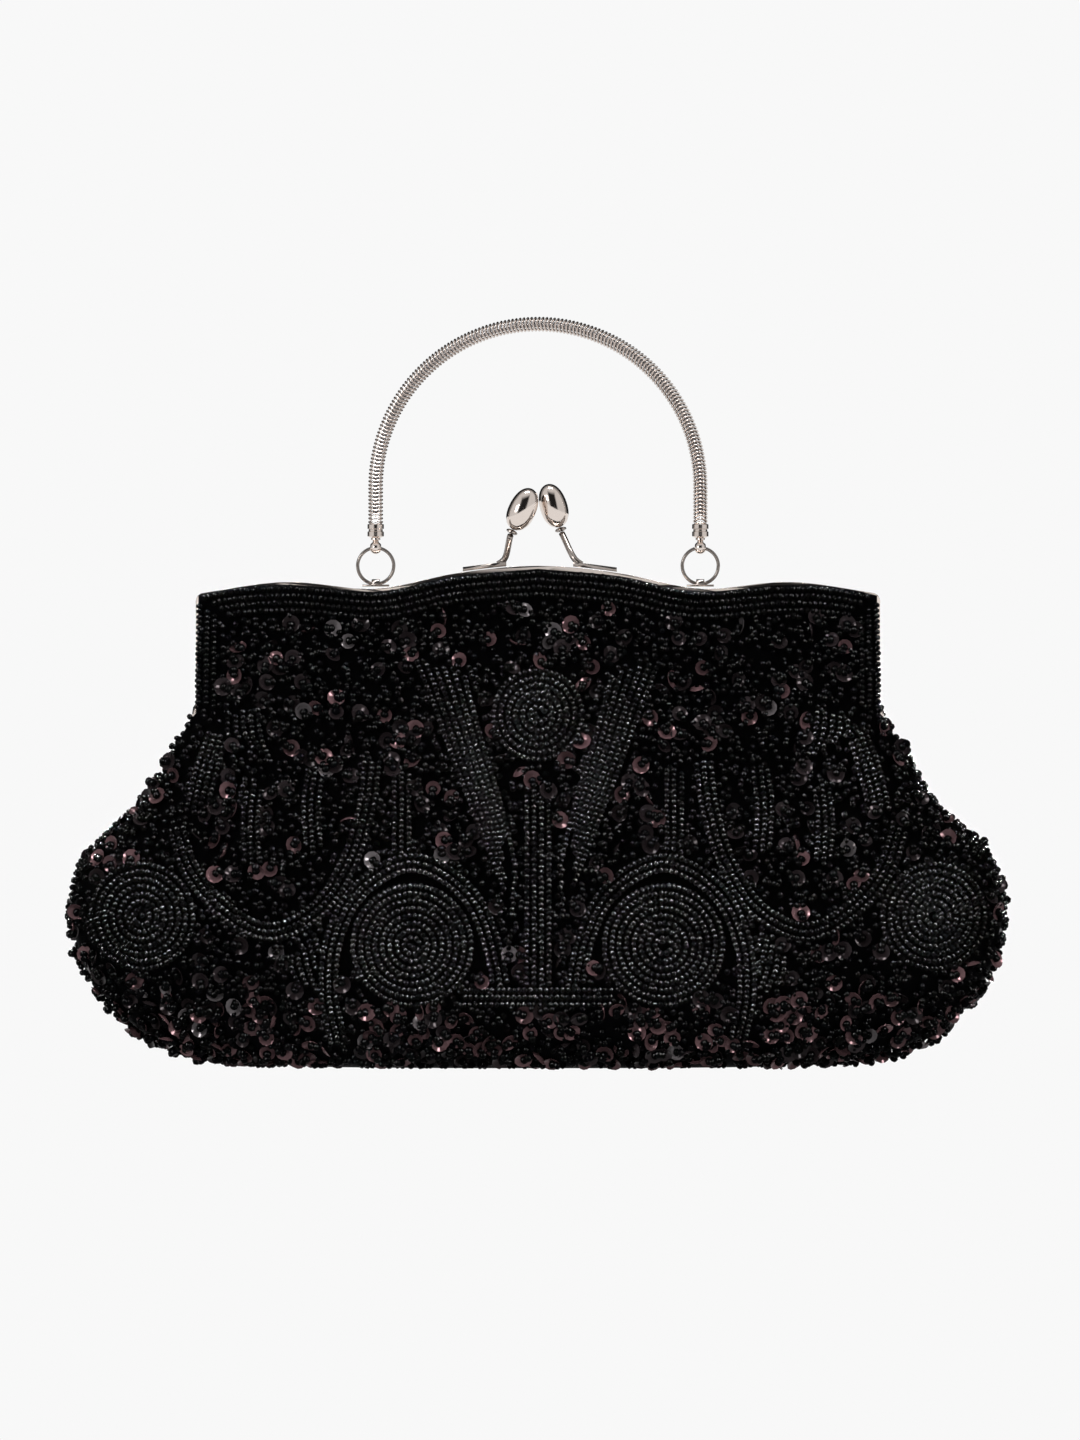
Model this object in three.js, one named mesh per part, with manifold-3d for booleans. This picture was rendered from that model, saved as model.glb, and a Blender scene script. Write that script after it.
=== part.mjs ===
// A beaded evening bag on a kiss-lock frame with an arched snake-chain handle.
//
// Millimetres, +Z up, +X to the wearer's right as the front is looked at, and the front faces -Y.
// The origin is the middle of the flat base. Two frame halves turn on rivets at the sides, and each
// carries the upper part of one fabric wall. The lower walls, the base and what lies in them stay put.
import * as THREE from 'three';
import { mergeVertices } from 'three/addons/utils/BufferGeometryUtils.js';
import Module from 'manifold-3d';

const wasm = await Module();
wasm.setup();

// ---- Driving dimensions ----

const clearance = 0.3; // between pieces that touch or slide

const frame = {
  halfWidth: 102, // to the outer faces of the legs
  depth: 6, // of one half, front to back
  web: 1.1, // thickness of the outer strip
  flange: 0.8, // thickness of the sewing flange
  flangeWidth: 7,
  cornerRadius: 2.5,
  hingeHeight: 105,
  legHeight: 36, // hinge axis to corner
  dipRise: 1.5, // the top edge above the corner, where the handle is fixed
  sideCrestRise: 3.6,
  shoulderRise: 6.2,
  centreCrestRise: 8.4,
  earRadius: 4,
  earThickness: 1,
};

const rivet = { shankRadius: 1.4, headRadius: 2.8, headThickness: 1.2 };

const pouch = {
  baseHalfWidth: 84,
  baseHalfDepth: 13,
  bulgeHalfWidth: 139.4,
  bulgeHalfDepth: 28,
  bulgeHeight: 44,
  rimSideRise: 4.2, // the rim stands this far outside the frame legs
  rimDrop: 4, // below the hinge axis
  wall: 2, // beaded satin on its interlining
  seamHalfDepth: 1.2,
  gussetHeight: 17, // the side seam opens out over this height below the rim
  squareness: 2.4, // exponent of the rounded sections
};

const upperWall = {
  sideRadius: 9, // about the hinge axis, beside the legs
  middleRadius: 15, // about the hinge axis, at the middle
  arcHeight: 4, // above the hinge axis, the wall follows that radius
  tuck: 4.5, // below the hinge axis, it carries on inside the rim
  revealed: 1.5, // strip of frame left bare round the edge
};

const lining = { thickness: 0.7, gap: 0.6, rimDrop: 9 };
const board = { endGap: 8, sideGap: 4, thickness: 1.2 }; // gaps to the base's outline
// The foot lies below the bulge, the mouth above it.
const pocket = { halfWidth: 45, foot: 24, mouth: 20, thickness: 0.8, belly: 8 };
const medallionThickness = 1.3;
// Each medallion lies at a height above or below the bulge.
const outerMedallion = { fromSide: 23.4, rise: 1.5, radius: 15 };
const innerMedallion = { fromMiddle: 37, rise: -6.5, radius: 15.5 };
const edgeRow = { radius: 0.95, inset: 3.4, endMargin: 6 };

const handle = {
  halfSpan: 48.6, // lugs, rings and chain ends
  neckLength: 6.7, // from the top of a ring to the end of the chain
  chainRadius: 2.2,
  chainBore: 1.3,
  coreRadius: 0.95,
  legLength: 11.6, // straight part of the chain at each end
};

const ring = { radius: 5.4, wire: 0.5 };
const lug = { wall: 0.6, length: 2.4, footLength: 8, footDepth: 4, footThickness: 0.6 };
const eye = { ballRadius: 1.9, bore: 0.95, stemRadius: 0.9, stemLength: 3.1 };
const ferrule = { radius: 2.35, neckRadius: 1.55, shoulder: 1.4, spigotRadius: 0.95, spigotLength: 3 };

const clasp = {
  footLength: 13,
  footWidth: 3.2,
  footThickness: 1.3,
  stemRadius: 0.95,
  knobLength: 6.6, // half lengths of the egg
  knobWidth: 4,
  knobDepth: 3.8,
  collarRadius: 1.75,
  collarThickness: 1.1,
  knobGap: 0.6, // from the middle of the bag to the side of each knob
  knobPassed: 2.4, // how far each knob's middle lies past the middle plane, over the other half
  front: { footInner: 10.5, rise: 18, lean: -17 }, // rise of the knob's middle above the frame's crest
  rear: { footInner: -9.5, rise: 16.9, lean: 25 },
};

// ---- Finishes ----

const finish = (color, roughness, metalness) => new THREE.MeshStandardMaterial(
  { color, roughness, metalness },
);
const paleMetal = finish(0xd9cbc2, 0.18, 1);
const chainMetal = finish(0xcfc0b8, 0.3, 1);
const springSteel = finish(0x8d8f93, 0.4, 1);
const beadedSatin = finish(0x0b0a0c, 0.35, 0);
const glassBead = finish(0x050506, 0.12, 0);
const sequin = finish(0x1b1518, 0.22, 0.2);
const liningSatin = finish(0x141315, 0.55, 0);
const greyBoard = finish(0x6e675f, 0.9, 0);

// ---- Solids ----

// A closed three.js geometry as a solid that can be joined and cut.
function toSolid(geometry) {
  const bare = geometry.clone();
  bare.deleteAttribute('normal');
  bare.deleteAttribute('uv');
  const merged = mergeVertices(bare, 1e-4);
  const corners = [];
  for (let i = 0; i < merged.index.count; i += 3) {
    const [a, b, c] = [0, 1, 2].map((k) => merged.index.getX(i + k));
    if (a !== b && b !== c && c !== a) corners.push(a, b, c);
  }
  return new wasm.Manifold(new wasm.Mesh({
    numProp: 3,
    vertProperties: new Float32Array(merged.attributes.position.array),
    triVerts: new Uint32Array(corners),
  }));
}

function toGeometry(solid) {
  const mesh = solid.getMesh();
  const geometry = new THREE.BufferGeometry();
  geometry.setAttribute('position', new THREE.BufferAttribute(new Float32Array(mesh.vertProperties), 3));
  geometry.setIndex(new THREE.BufferAttribute(new Uint32Array(mesh.triVerts), 1));
  geometry.computeVertexNormals();
  return geometry;
}

// Two surfaces' worth of rings, each a closed loop of points, skinned and capped flat at both ends.
// flatten turns a point into its place in the plane of a cap.
function loft(rings, flatten) {
  const around = rings[0].length;
  const index = [];
  for (let r = 0; r + 1 < rings.length; r += 1) {
    for (let i = 0; i < around; i += 1) {
      const next = (i + 1) % around;
      const [a, b] = [r * around + i, r * around + next];
      index.push(a, b, b + around, a, b + around, a + around);
    }
  }
  const cap = (r, turned) => {
    for (const [a, b, c] of THREE.ShapeUtils.triangulateShape(rings[r].map(flatten), [])) {
      const corners = turned ? [a, c, b] : [a, b, c];
      index.push(...corners.map((k) => r * around + k));
    }
  };
  const turns = THREE.ShapeUtils.isClockWise(rings[0].map(flatten));
  cap(0, !turns);
  cap(rings.length - 1, turns);
  const geometry = new THREE.BufferGeometry().setFromPoints(rings.flat());
  geometry.setIndex(index);
  return outward(geometry);
}

// The geometry with its faces pointing out.
function outward(geometry) {
  const p = geometry.attributes.position;
  const corner = (k) => new THREE.Vector3().fromBufferAttribute(p, geometry.index.getX(k));
  let volume = 0;
  for (let i = 0; i < geometry.index.count; i += 3) {
    volume += corner(i).dot(corner(i + 1).cross(corner(i + 2)));
  }
  if (volume < 0) geometry.index.array.reverse();
  geometry.computeVertexNormals();
  return geometry;
}

const box = (low, high) => {
  const size = new THREE.Vector3().subVectors(high, low);
  const middle = new THREE.Vector3().addVectors(low, high).multiplyScalar(0.5);
  return new THREE.BoxGeometry(size.x, size.y, size.z).translate(middle.x, middle.y, middle.z);
};

const v3 = (x, y, z) => new THREE.Vector3(x, y, z);

// A round bar along X.
const barAlongX = (radius, from, to, y, z, sides = 16) => new THREE.CylinderGeometry(
  radius, radius, to - from, sides,
).rotateZ(Math.PI / 2).translate((from + to) / 2, y, z);

// A profile of [radius, height] pairs turned about the vertical axis.
const points2 = (pairs) => pairs.map(([r, z]) => new THREE.Vector2(r, z));
const turned = (pairs, sides) => new THREE.LatheGeometry(points2(pairs), sides)
  .rotateX(Math.PI / 2);

const even = (count) => Array.from({ length: count + 1 }, (_, i) => i / count);

// ---- The frame's outline ----

const cornerHeight = frame.hingeHeight + frame.legHeight;

const topCurve = new THREE.CatmullRomCurve3([
  v3(-handle.halfSpan / 2, 0, frame.shoulderRise),
  v3(0, 0, frame.centreCrestRise),
  v3(handle.halfSpan / 2, 0, frame.shoulderRise),
  v3(handle.halfSpan, 0, frame.dipRise),
  v3((handle.halfSpan + frame.halfWidth) / 2, 0, frame.sideCrestRise),
  v3(frame.halfWidth, 0, 0),
]);

// Height of the frame's top edge at x.
function frameTop(x) {
  let [low, high] = [0.2, 1]; // the curve's second point is the middle of the bag
  for (let i = 0; i < 30; i += 1) {
    const middle = (low + high) / 2;
    if (topCurve.getPoint(middle).x < Math.abs(x)) low = middle;
    else high = middle;
  }
  return cornerHeight + topCurve.getPoint(low).z;
}

// The frame's outline from one leg's foot to the other's, moved inwards by inset, as [x, height] pairs.
function frameOutline(inset, foot) {
  const side = frame.halfWidth - inset;
  const radius = Math.max(frame.cornerRadius - inset, 0.4);
  const half = [];
  for (const share of even(18)) {
    const x = share * (side - radius);
    half.push([x, frameTop(x) - inset]);
  }
  const cornerTop = half.at(-1)[1] - radius;
  for (const share of even(4).slice(1)) {
    const turn = share * Math.PI / 2;
    half.push([side - radius + radius * Math.sin(turn), cornerTop + radius * Math.cos(turn)]);
  }
  half.push([side, foot]);
  const left = half.slice(1).reverse().map(([x, z]) => [-x, z]);
  return [...left, ...half];
}

// A band that follows the outline, width wide, as a plate from one depth to another.
function frameBand(width, foot, nearDepth, farDepth) {
  const outline = [...frameOutline(0, foot), ...frameOutline(width, foot).reverse()];
  const shape = new THREE.Shape(outline.map(([x, z]) => new THREE.Vector2(x, z)));
  const plate = new THREE.ExtrudeGeometry(shape, { depth: farDepth - nearDepth, bevelEnabled: false });
  return toSolid(plate.rotateX(Math.PI / 2).translate(0, -nearDepth, 0));
}

// One frame half. side is -1 for the front, whose ears lie outside the rear's.
function frameHalf(side) {
  const { hingeHeight, halfWidth, depth, earRadius, earThickness } = frame;
  const parting = clearance / 2;
  const earInset = side > 0 ? earThickness + clearance : 0;
  const webFoot = hingeHeight + (side > 0 ? earRadius + 2 * clearance : 0);
  let solid = frameBand(frame.web, webFoot, parting, depth)
    .add(frameBand(frame.flangeWidth, hingeHeight, depth - frame.flange, depth));
  for (const hand of [-1, 1]) {
    const outer = hand * (halfWidth - earInset);
    const inner = hand * (halfWidth - earInset - earThickness);
    const [from, to] = [Math.min(outer, inner), Math.max(outer, inner)];
    const plateTop = hingeHeight + 2 * earRadius;
    solid = solid
      .add(toSolid(barAlongX(earRadius, from, to, 0, hingeHeight, 24)))
      .add(toSolid(box(v3(from, -depth, hingeHeight), v3(to, -parting, plateTop))))
      .subtract(toSolid(barAlongX(rivet.shankRadius + clearance, from - 1, to + 1, 0, hingeHeight)));
  }
  return toGeometry(side > 0 ? solid.mirror([0, 1, 0]) : solid);
}

function hingeRivet(hand) {
  const outside = frame.halfWidth + clearance;
  const inside = frame.halfWidth - 2 * frame.earThickness - 2 * clearance;
  const { shankRadius, headRadius, headThickness } = rivet;
  const profile = [
    [0, inside - headThickness], [headRadius * 0.6, inside - headThickness],
    [headRadius, inside - headThickness * 0.5], [headRadius, inside],
    [shankRadius, inside], [shankRadius, outside], [headRadius, outside],
    [headRadius * 0.8, outside + headThickness * 0.7], [0, outside + headThickness],
  ];
  return turned(profile, 16).rotateY(hand * Math.PI / 2).translate(0, 0, frame.hingeHeight);
}

// ---- The fabric walls ----

const rimHeight = frame.hingeHeight - pouch.rimDrop;
const rimHalfWidth = frame.halfWidth + pouch.rimSideRise;
// The rim clears the arc on which the upper wall swings inside it.
const besideArc = (radius) => Math.sqrt((radius + 2 * clearance) ** 2 - pouch.rimDrop ** 2) + pouch.wall;
const rimSideHalfDepth = besideArc(upperWall.sideRadius);
const rimHalfDepth = besideArc(upperWall.middleRadius);

// How the side of the pouch runs in from the bulge (0) to the rim (1), against the share of the height.
const flare = new THREE.CatmullRomCurve3([
  v3(0, 0, 0), v3(0.1, 0, 0.31), v3(0.5, 0, 0.525), v3(0.82, 0, 0.77), v3(1, 0, 1),
]);

const ease = (t) => t * t * (3 - 2 * t);

// Share of the way round a quarter ellipse, from the base (0) up to the bulge (1).
const roundUp = (height) => Math.sqrt(Math.max(0, 1 - (1 - height / pouch.bulgeHeight) ** 2));

// Half width, half depth and half depth at the side seam of the pouch, at each level from the base up.
function pouchLevels() {
  const { baseHalfWidth, baseHalfDepth, bulgeHalfWidth, bulgeHalfDepth, bulgeHeight } = pouch;
  const levels = [0, 0.05, 0.14, 0.28, 0.5, 0.75, 1].map((share) => {
    const height = share * bulgeHeight;
    const grown = roundUp(height);
    return {
      height,
      halfWidth: THREE.MathUtils.lerp(baseHalfWidth, bulgeHalfWidth, grown),
      halfDepth: THREE.MathUtils.lerp(baseHalfDepth, bulgeHalfDepth, grown),
    };
  });
  for (const share of even(9).slice(1)) {
    const { x: drawnIn, z: risen } = flare.getPoint(share);
    levels.push({
      height: THREE.MathUtils.lerp(bulgeHeight, rimHeight, risen),
      halfWidth: THREE.MathUtils.lerp(bulgeHalfWidth, rimHalfWidth, drawnIn),
      halfDepth: THREE.MathUtils.lerp(bulgeHalfDepth, rimHalfDepth, ease(risen)),
    });
  }
  for (const level of levels) {
    const opened = THREE.MathUtils.clamp(1 - (rimHeight - level.height) / pouch.gussetHeight, 0, 1);
    level.seam = THREE.MathUtils.lerp(pouch.seamHalfDepth, rimSideHalfDepth, ease(opened));
  }
  return levels;
}

const signedPower = (value, power) => Math.sign(value) * Math.abs(value) ** power;

// A closed loop round the pouch at a level, inset from its outer face.
function pouchRing(level, inset, height, sides = 32) {
  const power = 2 / pouch.squareness;
  const seam = Math.max(level.seam - inset, 0.3);
  return even(sides).slice(0, -1).map((share) => {
    const turn = share * 2 * Math.PI;
    const [c, s] = [Math.cos(turn), Math.sin(turn)].map((value) => (Math.abs(value) < 1e-9 ? 0 : value));
    const depth = seam + (level.halfDepth - inset - seam) * Math.abs(s) ** power;
    return v3((level.halfWidth - inset) * signedPower(c, power), Math.sign(s) * depth, height);
  });
}

const levels = pouchLevels();

// 1 at the middle of the bag and 0 at halfWidth, rounding off between.
const fullness = (x, halfWidth) => Math.max(0, 1 - Math.abs(x / halfWidth) ** pouch.squareness)
  ** (1 / pouch.squareness);

// The pouch's measures at any height up to the rim.
function levelAt(height) {
  const after = Math.max(1, levels.findIndex((level) => level.height >= height - 1e-6));
  const [low, high] = [levels[after - 1], levels[after]];
  const share = (height - low.height) / (high.height - low.height);
  const mixed = (key) => THREE.MathUtils.lerp(low[key], high[key], share);
  return { height, halfWidth: mixed('halfWidth'), halfDepth: mixed('halfDepth'), seam: mixed('seam') };
}

// How far the pouch's outer face stands from the middle plane.
function pouchDepth(x, height) {
  const { halfWidth, halfDepth, seam } = levelAt(height);
  return seam + (halfDepth - seam) * fullness(x, halfWidth);
}

// The space inside a face of the pouch from one height to another, as a solid.
function pouchBody(inset, bottom, top) {
  const between = levels.filter(({ height }) => height > bottom + 0.1 && height < top - 0.5);
  const kept = [levelAt(bottom), ...between, levelAt(Math.min(top, rimHeight))];
  const rings = kept.map((level) => pouchRing(level, inset, level.height));
  if (top > rimHeight) rings.push(pouchRing(levels.at(-1), inset, top));
  return toSolid(loft(rings, ({ x, y }) => new THREE.Vector2(x, y)));
}

// The front (side -1) or rear half of a bowl: outer minus inner, parted at the side seams.
function halfOf(bowl, side) {
  const reach = pouch.bulgeHalfWidth + 10;
  const near = side * clearance / 2;
  const far = side * reach;
  const half = box(v3(-reach, Math.min(near, far), -10), v3(reach, Math.max(near, far), rimHeight + 20));
  return bowl.intersect(toSolid(half));
}

function baseOutline(inset) {
  return new THREE.Shape(pouchRing(levels[0], inset, 0).map(({ x, y }) => new THREE.Vector2(x, y)));
}

const plateOf = (shape, bottom, thickness) => new THREE.ExtrudeGeometry(shape, {
  depth: thickness, bevelEnabled: false,
}).translate(0, 0, bottom);

function lowerShell(side) {
  const bowl = pouchBody(0, 0, rimHeight)
    .subtract(pouchBody(pouch.wall, pouch.wall, rimHeight + 5))
    .subtract(toSolid(plateOf(baseOutline(-clearance), -1, pouch.wall + 2)));
  return toGeometry(halfOf(bowl, side));
}

const boardBottom = pouch.wall + clearance;
const liningBottom = boardBottom + board.thickness + clearance;

function lowerLining(side) {
  const face = pouch.wall + lining.gap;
  const rim = frame.hingeHeight - lining.rimDrop;
  const bowl = pouchBody(face, liningBottom, rim)
    .subtract(pouchBody(face + lining.thickness, liningBottom + lining.thickness, rim + 5));
  return toGeometry(halfOf(bowl, side));
}

function baseBoard() {
  const halfWidth = pouch.baseHalfWidth - board.endGap;
  const halfDepth = pouch.baseHalfDepth - board.sideGap;
  const shape = new THREE.Shape();
  shape.moveTo(-halfWidth, 0);
  shape.absarc(-halfWidth + halfDepth, 0, halfDepth, Math.PI, Math.PI * 1.5);
  shape.absarc(halfWidth - halfDepth, 0, halfDepth, -Math.PI / 2, Math.PI / 2);
  shape.absarc(-halfWidth + halfDepth, 0, halfDepth, Math.PI / 2, Math.PI);
  return new THREE.ExtrudeGeometry(shape, { depth: board.thickness, bevelEnabled: false, curveSegments: 8 })
    .translate(0, 0, boardBottom);
}

// How far an upper wall's outer face stands from the middle plane: an arc about the hinge axis
// near it, then a straight run up to the frame's edge.
function upperDepth(x, height, inset, edge) {
  const { sideRadius, middleRadius, arcHeight } = upperWall;
  const radius = THREE.MathUtils.lerp(sideRadius, middleRadius, fullness(x, frame.halfWidth)) - inset;
  const above = height - frame.hingeHeight;
  if (above <= arcHeight) return Math.sqrt(radius ** 2 - above ** 2);
  const start = Math.sqrt(radius ** 2 - arcHeight ** 2);
  const share = (above - arcHeight) / (frameTop(x) - frame.hingeHeight - arcHeight);
  return THREE.MathUtils.lerp(start, Math.min(edge, start), Math.sin(share * Math.PI / 2));
}

// An upper wall or its lining, from its tucked lower edge to just below the frame's edge.
function upperPanel(side, { inset, edge, thickness, halfWidth, below, rows }) {
  const bottom = frame.hingeHeight - upperWall.tuck;
  const arcTop = frame.hingeHeight + upperWall.arcHeight;
  const rings = even(22).map((share) => {
    const x = -halfWidth * Math.cos(share * Math.PI);
    const heights = [
      ...even(3).map((k) => THREE.MathUtils.lerp(bottom, arcTop, k)),
      ...even(rows).slice(1).map((k) => THREE.MathUtils.lerp(arcTop, frameTop(x) - below, k)),
    ];
    const outer = heights.map((z) => v3(x, side * upperDepth(x, z, inset, edge), z));
    const inner = heights.map((z) => v3(x, side * (upperDepth(x, z, inset, edge) - thickness), z));
    return [...outer, ...inner.reverse()];
  });
  return loft(rings, ({ y, z }) => new THREE.Vector2(y, z));
}

const shellEdge = frame.depth + clearance + pouch.wall;

const upperShell = (side) => upperPanel(side, {
  inset: 0,
  edge: shellEdge,
  thickness: pouch.wall,
  halfWidth: frame.halfWidth - upperWall.revealed,
  below: upperWall.revealed,
  rows: 5,
});

const upperLining = (side) => upperPanel(side, {
  inset: pouch.wall + lining.gap,
  edge: frame.depth - frame.flange - clearance,
  thickness: lining.thickness,
  halfWidth: frame.halfWidth - frame.flangeWidth - clearance,
  below: frame.flangeWidth + clearance,
  rows: 3,
});

// A slip pocket sewn to the rear lining along its sides and foot, standing a little open at its top.
function slipPocket() {
  const { halfWidth, thickness, belly } = pocket;
  const bottom = pouch.bulgeHeight - pocket.foot;
  const top = pouch.bulgeHeight + pocket.mouth;
  const face = pouch.wall + lining.gap + lining.thickness + clearance;
  const depthAt = (x, height) => {
    const risen = Math.min(1, (height - bottom) / (top - bottom) * 2);
    const openness = (1 - (x / halfWidth) ** 4) * Math.sin(risen * Math.PI / 2);
    return pouchDepth(x, height) - face - belly * openness;
  };
  const heights = even(7).map((share) => THREE.MathUtils.lerp(bottom, top, share));
  const rings = even(12).map((share) => {
    const x = THREE.MathUtils.lerp(-halfWidth, halfWidth, share);
    const outer = heights.map((z) => v3(x, depthAt(x, z), z));
    const inner = heights.map((z) => v3(x, depthAt(x, z) - thickness, z));
    return [...outer, ...inner.reverse()];
  });
  return loft(rings, ({ y, z }) => new THREE.Vector2(y, z));
}

// A round, shallowly domed medallion of sequins sewn on a lower wall.
function medallion(middleX, { rise, radius }, side) {
  const middleZ = pouch.bulgeHeight + rise;
  const spokes = 20;
  const circles = 3;
  const points = [];
  const index = [];
  const place = (x, z, lift) => points.push(v3(x, side * (pouchDepth(x, z) + clearance + lift), z));
  for (const back of [0, 1]) {
    const start = points.length;
    place(middleX, middleZ, back ? 0 : medallionThickness);
    for (let ringOf = 1; ringOf <= circles; ringOf += 1) {
      const out = ringOf / circles;
      for (let i = 0; i < spokes; i += 1) {
        const turn = (i / spokes) * 2 * Math.PI;
        const lift = back ? 0 : medallionThickness * (1 - 0.6 * out * out);
        place(middleX + radius * out * Math.cos(turn), middleZ + radius * out * Math.sin(turn), lift);
      }
    }
    const at = (ringOf, i) => start + 1 + (ringOf - 1) * spokes + (i % spokes);
    const face = (a, b, c) => index.push(...(back ? [a, c, b] : [a, b, c]));
    for (let i = 0; i < spokes; i += 1) {
      face(start, at(1, i), at(1, i + 1));
      for (let ringOf = 1; ringOf < circles; ringOf += 1) {
        face(at(ringOf, i), at(ringOf + 1, i), at(ringOf + 1, i + 1));
        face(at(ringOf, i), at(ringOf + 1, i + 1), at(ringOf, i + 1));
      }
    }
  }
  const rim = 1 + (circles - 1) * spokes;
  const farRim = points.length / 2 + rim;
  for (let i = 0; i < spokes; i += 1) {
    const next = (i + 1) % spokes;
    index.push(rim + i, farRim + i, farRim + next, rim + i, farRim + next, rim + next);
  }
  const geometry = new THREE.BufferGeometry().setFromPoints(points);
  geometry.setIndex(index);
  return outward(geometry);
}

// A round section for a rod or a string.
const disc = (radius, sides) => new THREE.Shape(even(sides).slice(0, -1).map((share) => {
  const turn = share * 2 * Math.PI;
  return new THREE.Vector2(radius * Math.cos(turn), radius * Math.sin(turn));
}));

// The row of beads that edges the fabric along the frame's top, as one string.
function edgeString(side) {
  const reach = frame.halfWidth - edgeRow.endMargin;
  const path = new THREE.CatmullRomCurve3(even(36).map((share) => {
    const x = THREE.MathUtils.lerp(-reach, reach, share);
    const height = frameTop(x) - edgeRow.inset;
    const depth = upperDepth(x, height, 0, shellEdge) + edgeRow.radius + clearance;
    return v3(x, side * depth, height);
  }));
  return new THREE.ExtrudeGeometry(disc(edgeRow.radius, 5), { steps: 44, extrudePath: path });
}

// ---- The handle ----

const lugRadius = ring.wire + clearance + lug.wall;
const lugEnds = [-1, 0, 1].map((side) => handle.halfSpan + side * lug.footLength / 2);
const lugBottom = Math.max(...lugEnds.map(frameTop)) + clearance;
const lugAxisHeight = lugBottom + ring.wire + clearance;
const handleDepth = frame.depth / 2; // the handle stands on the rear half
const ringTop = lugAxisHeight + 2 * ring.radius;
const chainEnd = ringTop + handle.neckLength;
const archCentreHeight = chainEnd + handle.legLength;

// A foot soldered on the frame, with a bridge at its middle that the ring's wire runs under.
function handleLug(hand) {
  const x = hand * handle.halfSpan;
  const reach = lug.footLength / 2;
  const channel = ring.wire + clearance;
  const foot = toSolid(box(
    v3(x - reach, handleDepth - lug.footDepth / 2, lugBottom),
    v3(x + reach, handleDepth + lug.footDepth / 2, lugBottom + lug.footThickness),
  ));
  const half = lug.length / 2;
  const bridge = toSolid(barAlongX(lugRadius, x - half, x + half, handleDepth, lugAxisHeight, 20));
  const under = toSolid(box(
    v3(x - reach, handleDepth - lug.footDepth, lugBottom - lugRadius),
    v3(x + reach, handleDepth + lug.footDepth, lugBottom),
  ));
  const wireway = toSolid(barAlongX(channel, x - reach - 1, x + reach + 1, handleDepth, lugAxisHeight, 20));
  const opening = toSolid(box(
    v3(x - reach - 1, handleDepth - channel, lugBottom - 1),
    v3(x + reach + 1, handleDepth + channel, lugAxisHeight),
  ));
  return toGeometry(foot.add(bridge).subtract(under).subtract(wireway).subtract(opening));
}

const handleRing = (hand) => new THREE.TorusGeometry(ring.radius, ring.wire, 6, 28)
  .rotateX(Math.PI / 2)
  .translate(hand * handle.halfSpan, handleDepth, lugAxisHeight + ring.radius);

function handleEye(hand) {
  const ball = toSolid(new THREE.SphereGeometry(eye.ballRadius, 14, 10).rotateX(Math.PI / 2));
  const stem = toSolid(turned([
    [0, 0], [eye.stemRadius, 0], [eye.stemRadius, eye.stemLength], [0, eye.stemLength],
  ], 14));
  const bore = toSolid(barAlongX(eye.bore, -eye.ballRadius - 1, eye.ballRadius + 1, 0, 0, 14));
  const solid = ball.add(stem).subtract(bore);
  return toGeometry(solid).translate(hand * handle.halfSpan, handleDepth, ringTop);
}

function handleFerrule(hand) {
  const bottom = ringTop + eye.ballRadius + clearance;
  const top = chainEnd - clearance;
  const bore = eye.stemRadius + clearance;
  const boreTop = ringTop + eye.stemLength + clearance;
  const profile = [
    [0, boreTop], [bore, boreTop], [bore, bottom], [ferrule.neckRadius, bottom],
    [ferrule.radius, bottom + ferrule.shoulder], [ferrule.radius, top],
    [ferrule.spigotRadius, top], [ferrule.spigotRadius, top + ferrule.spigotLength],
    [0, top + ferrule.spigotLength],
  ];
  return turned(profile, 18).translate(hand * handle.halfSpan, handleDepth, 0);
}

// The handle's centre line: a straight leg, a half circle and a straight leg, each end cut back by trim.
class ArchPath extends THREE.Curve {
  constructor(trim = 0) {
    super();
    this.leg = handle.legLength - trim;
    this.arc = Math.PI * handle.halfSpan;
  }

  getPoint(t, target = new THREE.Vector3()) {
    const along = t * (2 * this.leg + this.arc);
    const { halfSpan } = handle;
    if (along < this.leg) return target.set(-halfSpan, handleDepth, archCentreHeight - this.leg + along);
    const past = along - this.leg;
    if (past > this.arc) return target.set(halfSpan, handleDepth, archCentreHeight - (past - this.arc));
    const turn = past / halfSpan;
    return target.set(
      -halfSpan * Math.cos(turn), handleDepth, archCentreHeight + halfSpan * Math.sin(turn),
    );
  }
}

function handleChain() {
  const section = disc(handle.chainRadius, 8);
  section.holes.push(disc(handle.chainBore, 8));
  return new THREE.ExtrudeGeometry(section, { steps: 40, extrudePath: new ArchPath() });
}

const handleCore = () => new THREE.ExtrudeGeometry(disc(handle.coreRadius, 5), {
  steps: 28,
  extrudePath: new ArchPath(ferrule.spigotLength + clearance),
});

// ---- The clasp ----

// The middle of a knob: the two lean over each other's halves, so that closed they have passed each other.
function knobMiddle({ footInner, rise }) {
  const outwards = Math.sign(footInner);
  const x = outwards * (clasp.knobWidth + clasp.knobGap);
  return v3(x, outwards * clasp.knobPassed, cornerHeight + frame.centreCrestRise + rise);
}

// The egg's lower end, where its collar sits.
function knobFoot(half) {
  const tilt = THREE.MathUtils.degToRad(half.lean);
  const down = clasp.knobLength + clearance + clasp.collarThickness / 2;
  return knobMiddle(half).sub(v3(Math.sin(tilt) * down, 0, Math.cos(tilt) * down));
}

const knobShape = (half) => new THREE.SphereGeometry(1, 20, 14)
  .rotateX(Math.PI / 2)
  .scale(clasp.knobWidth, clasp.knobDepth, clasp.knobLength)
  .rotateY(THREE.MathUtils.degToRad(half.lean))
  .translate(...knobMiddle(half));

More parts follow.
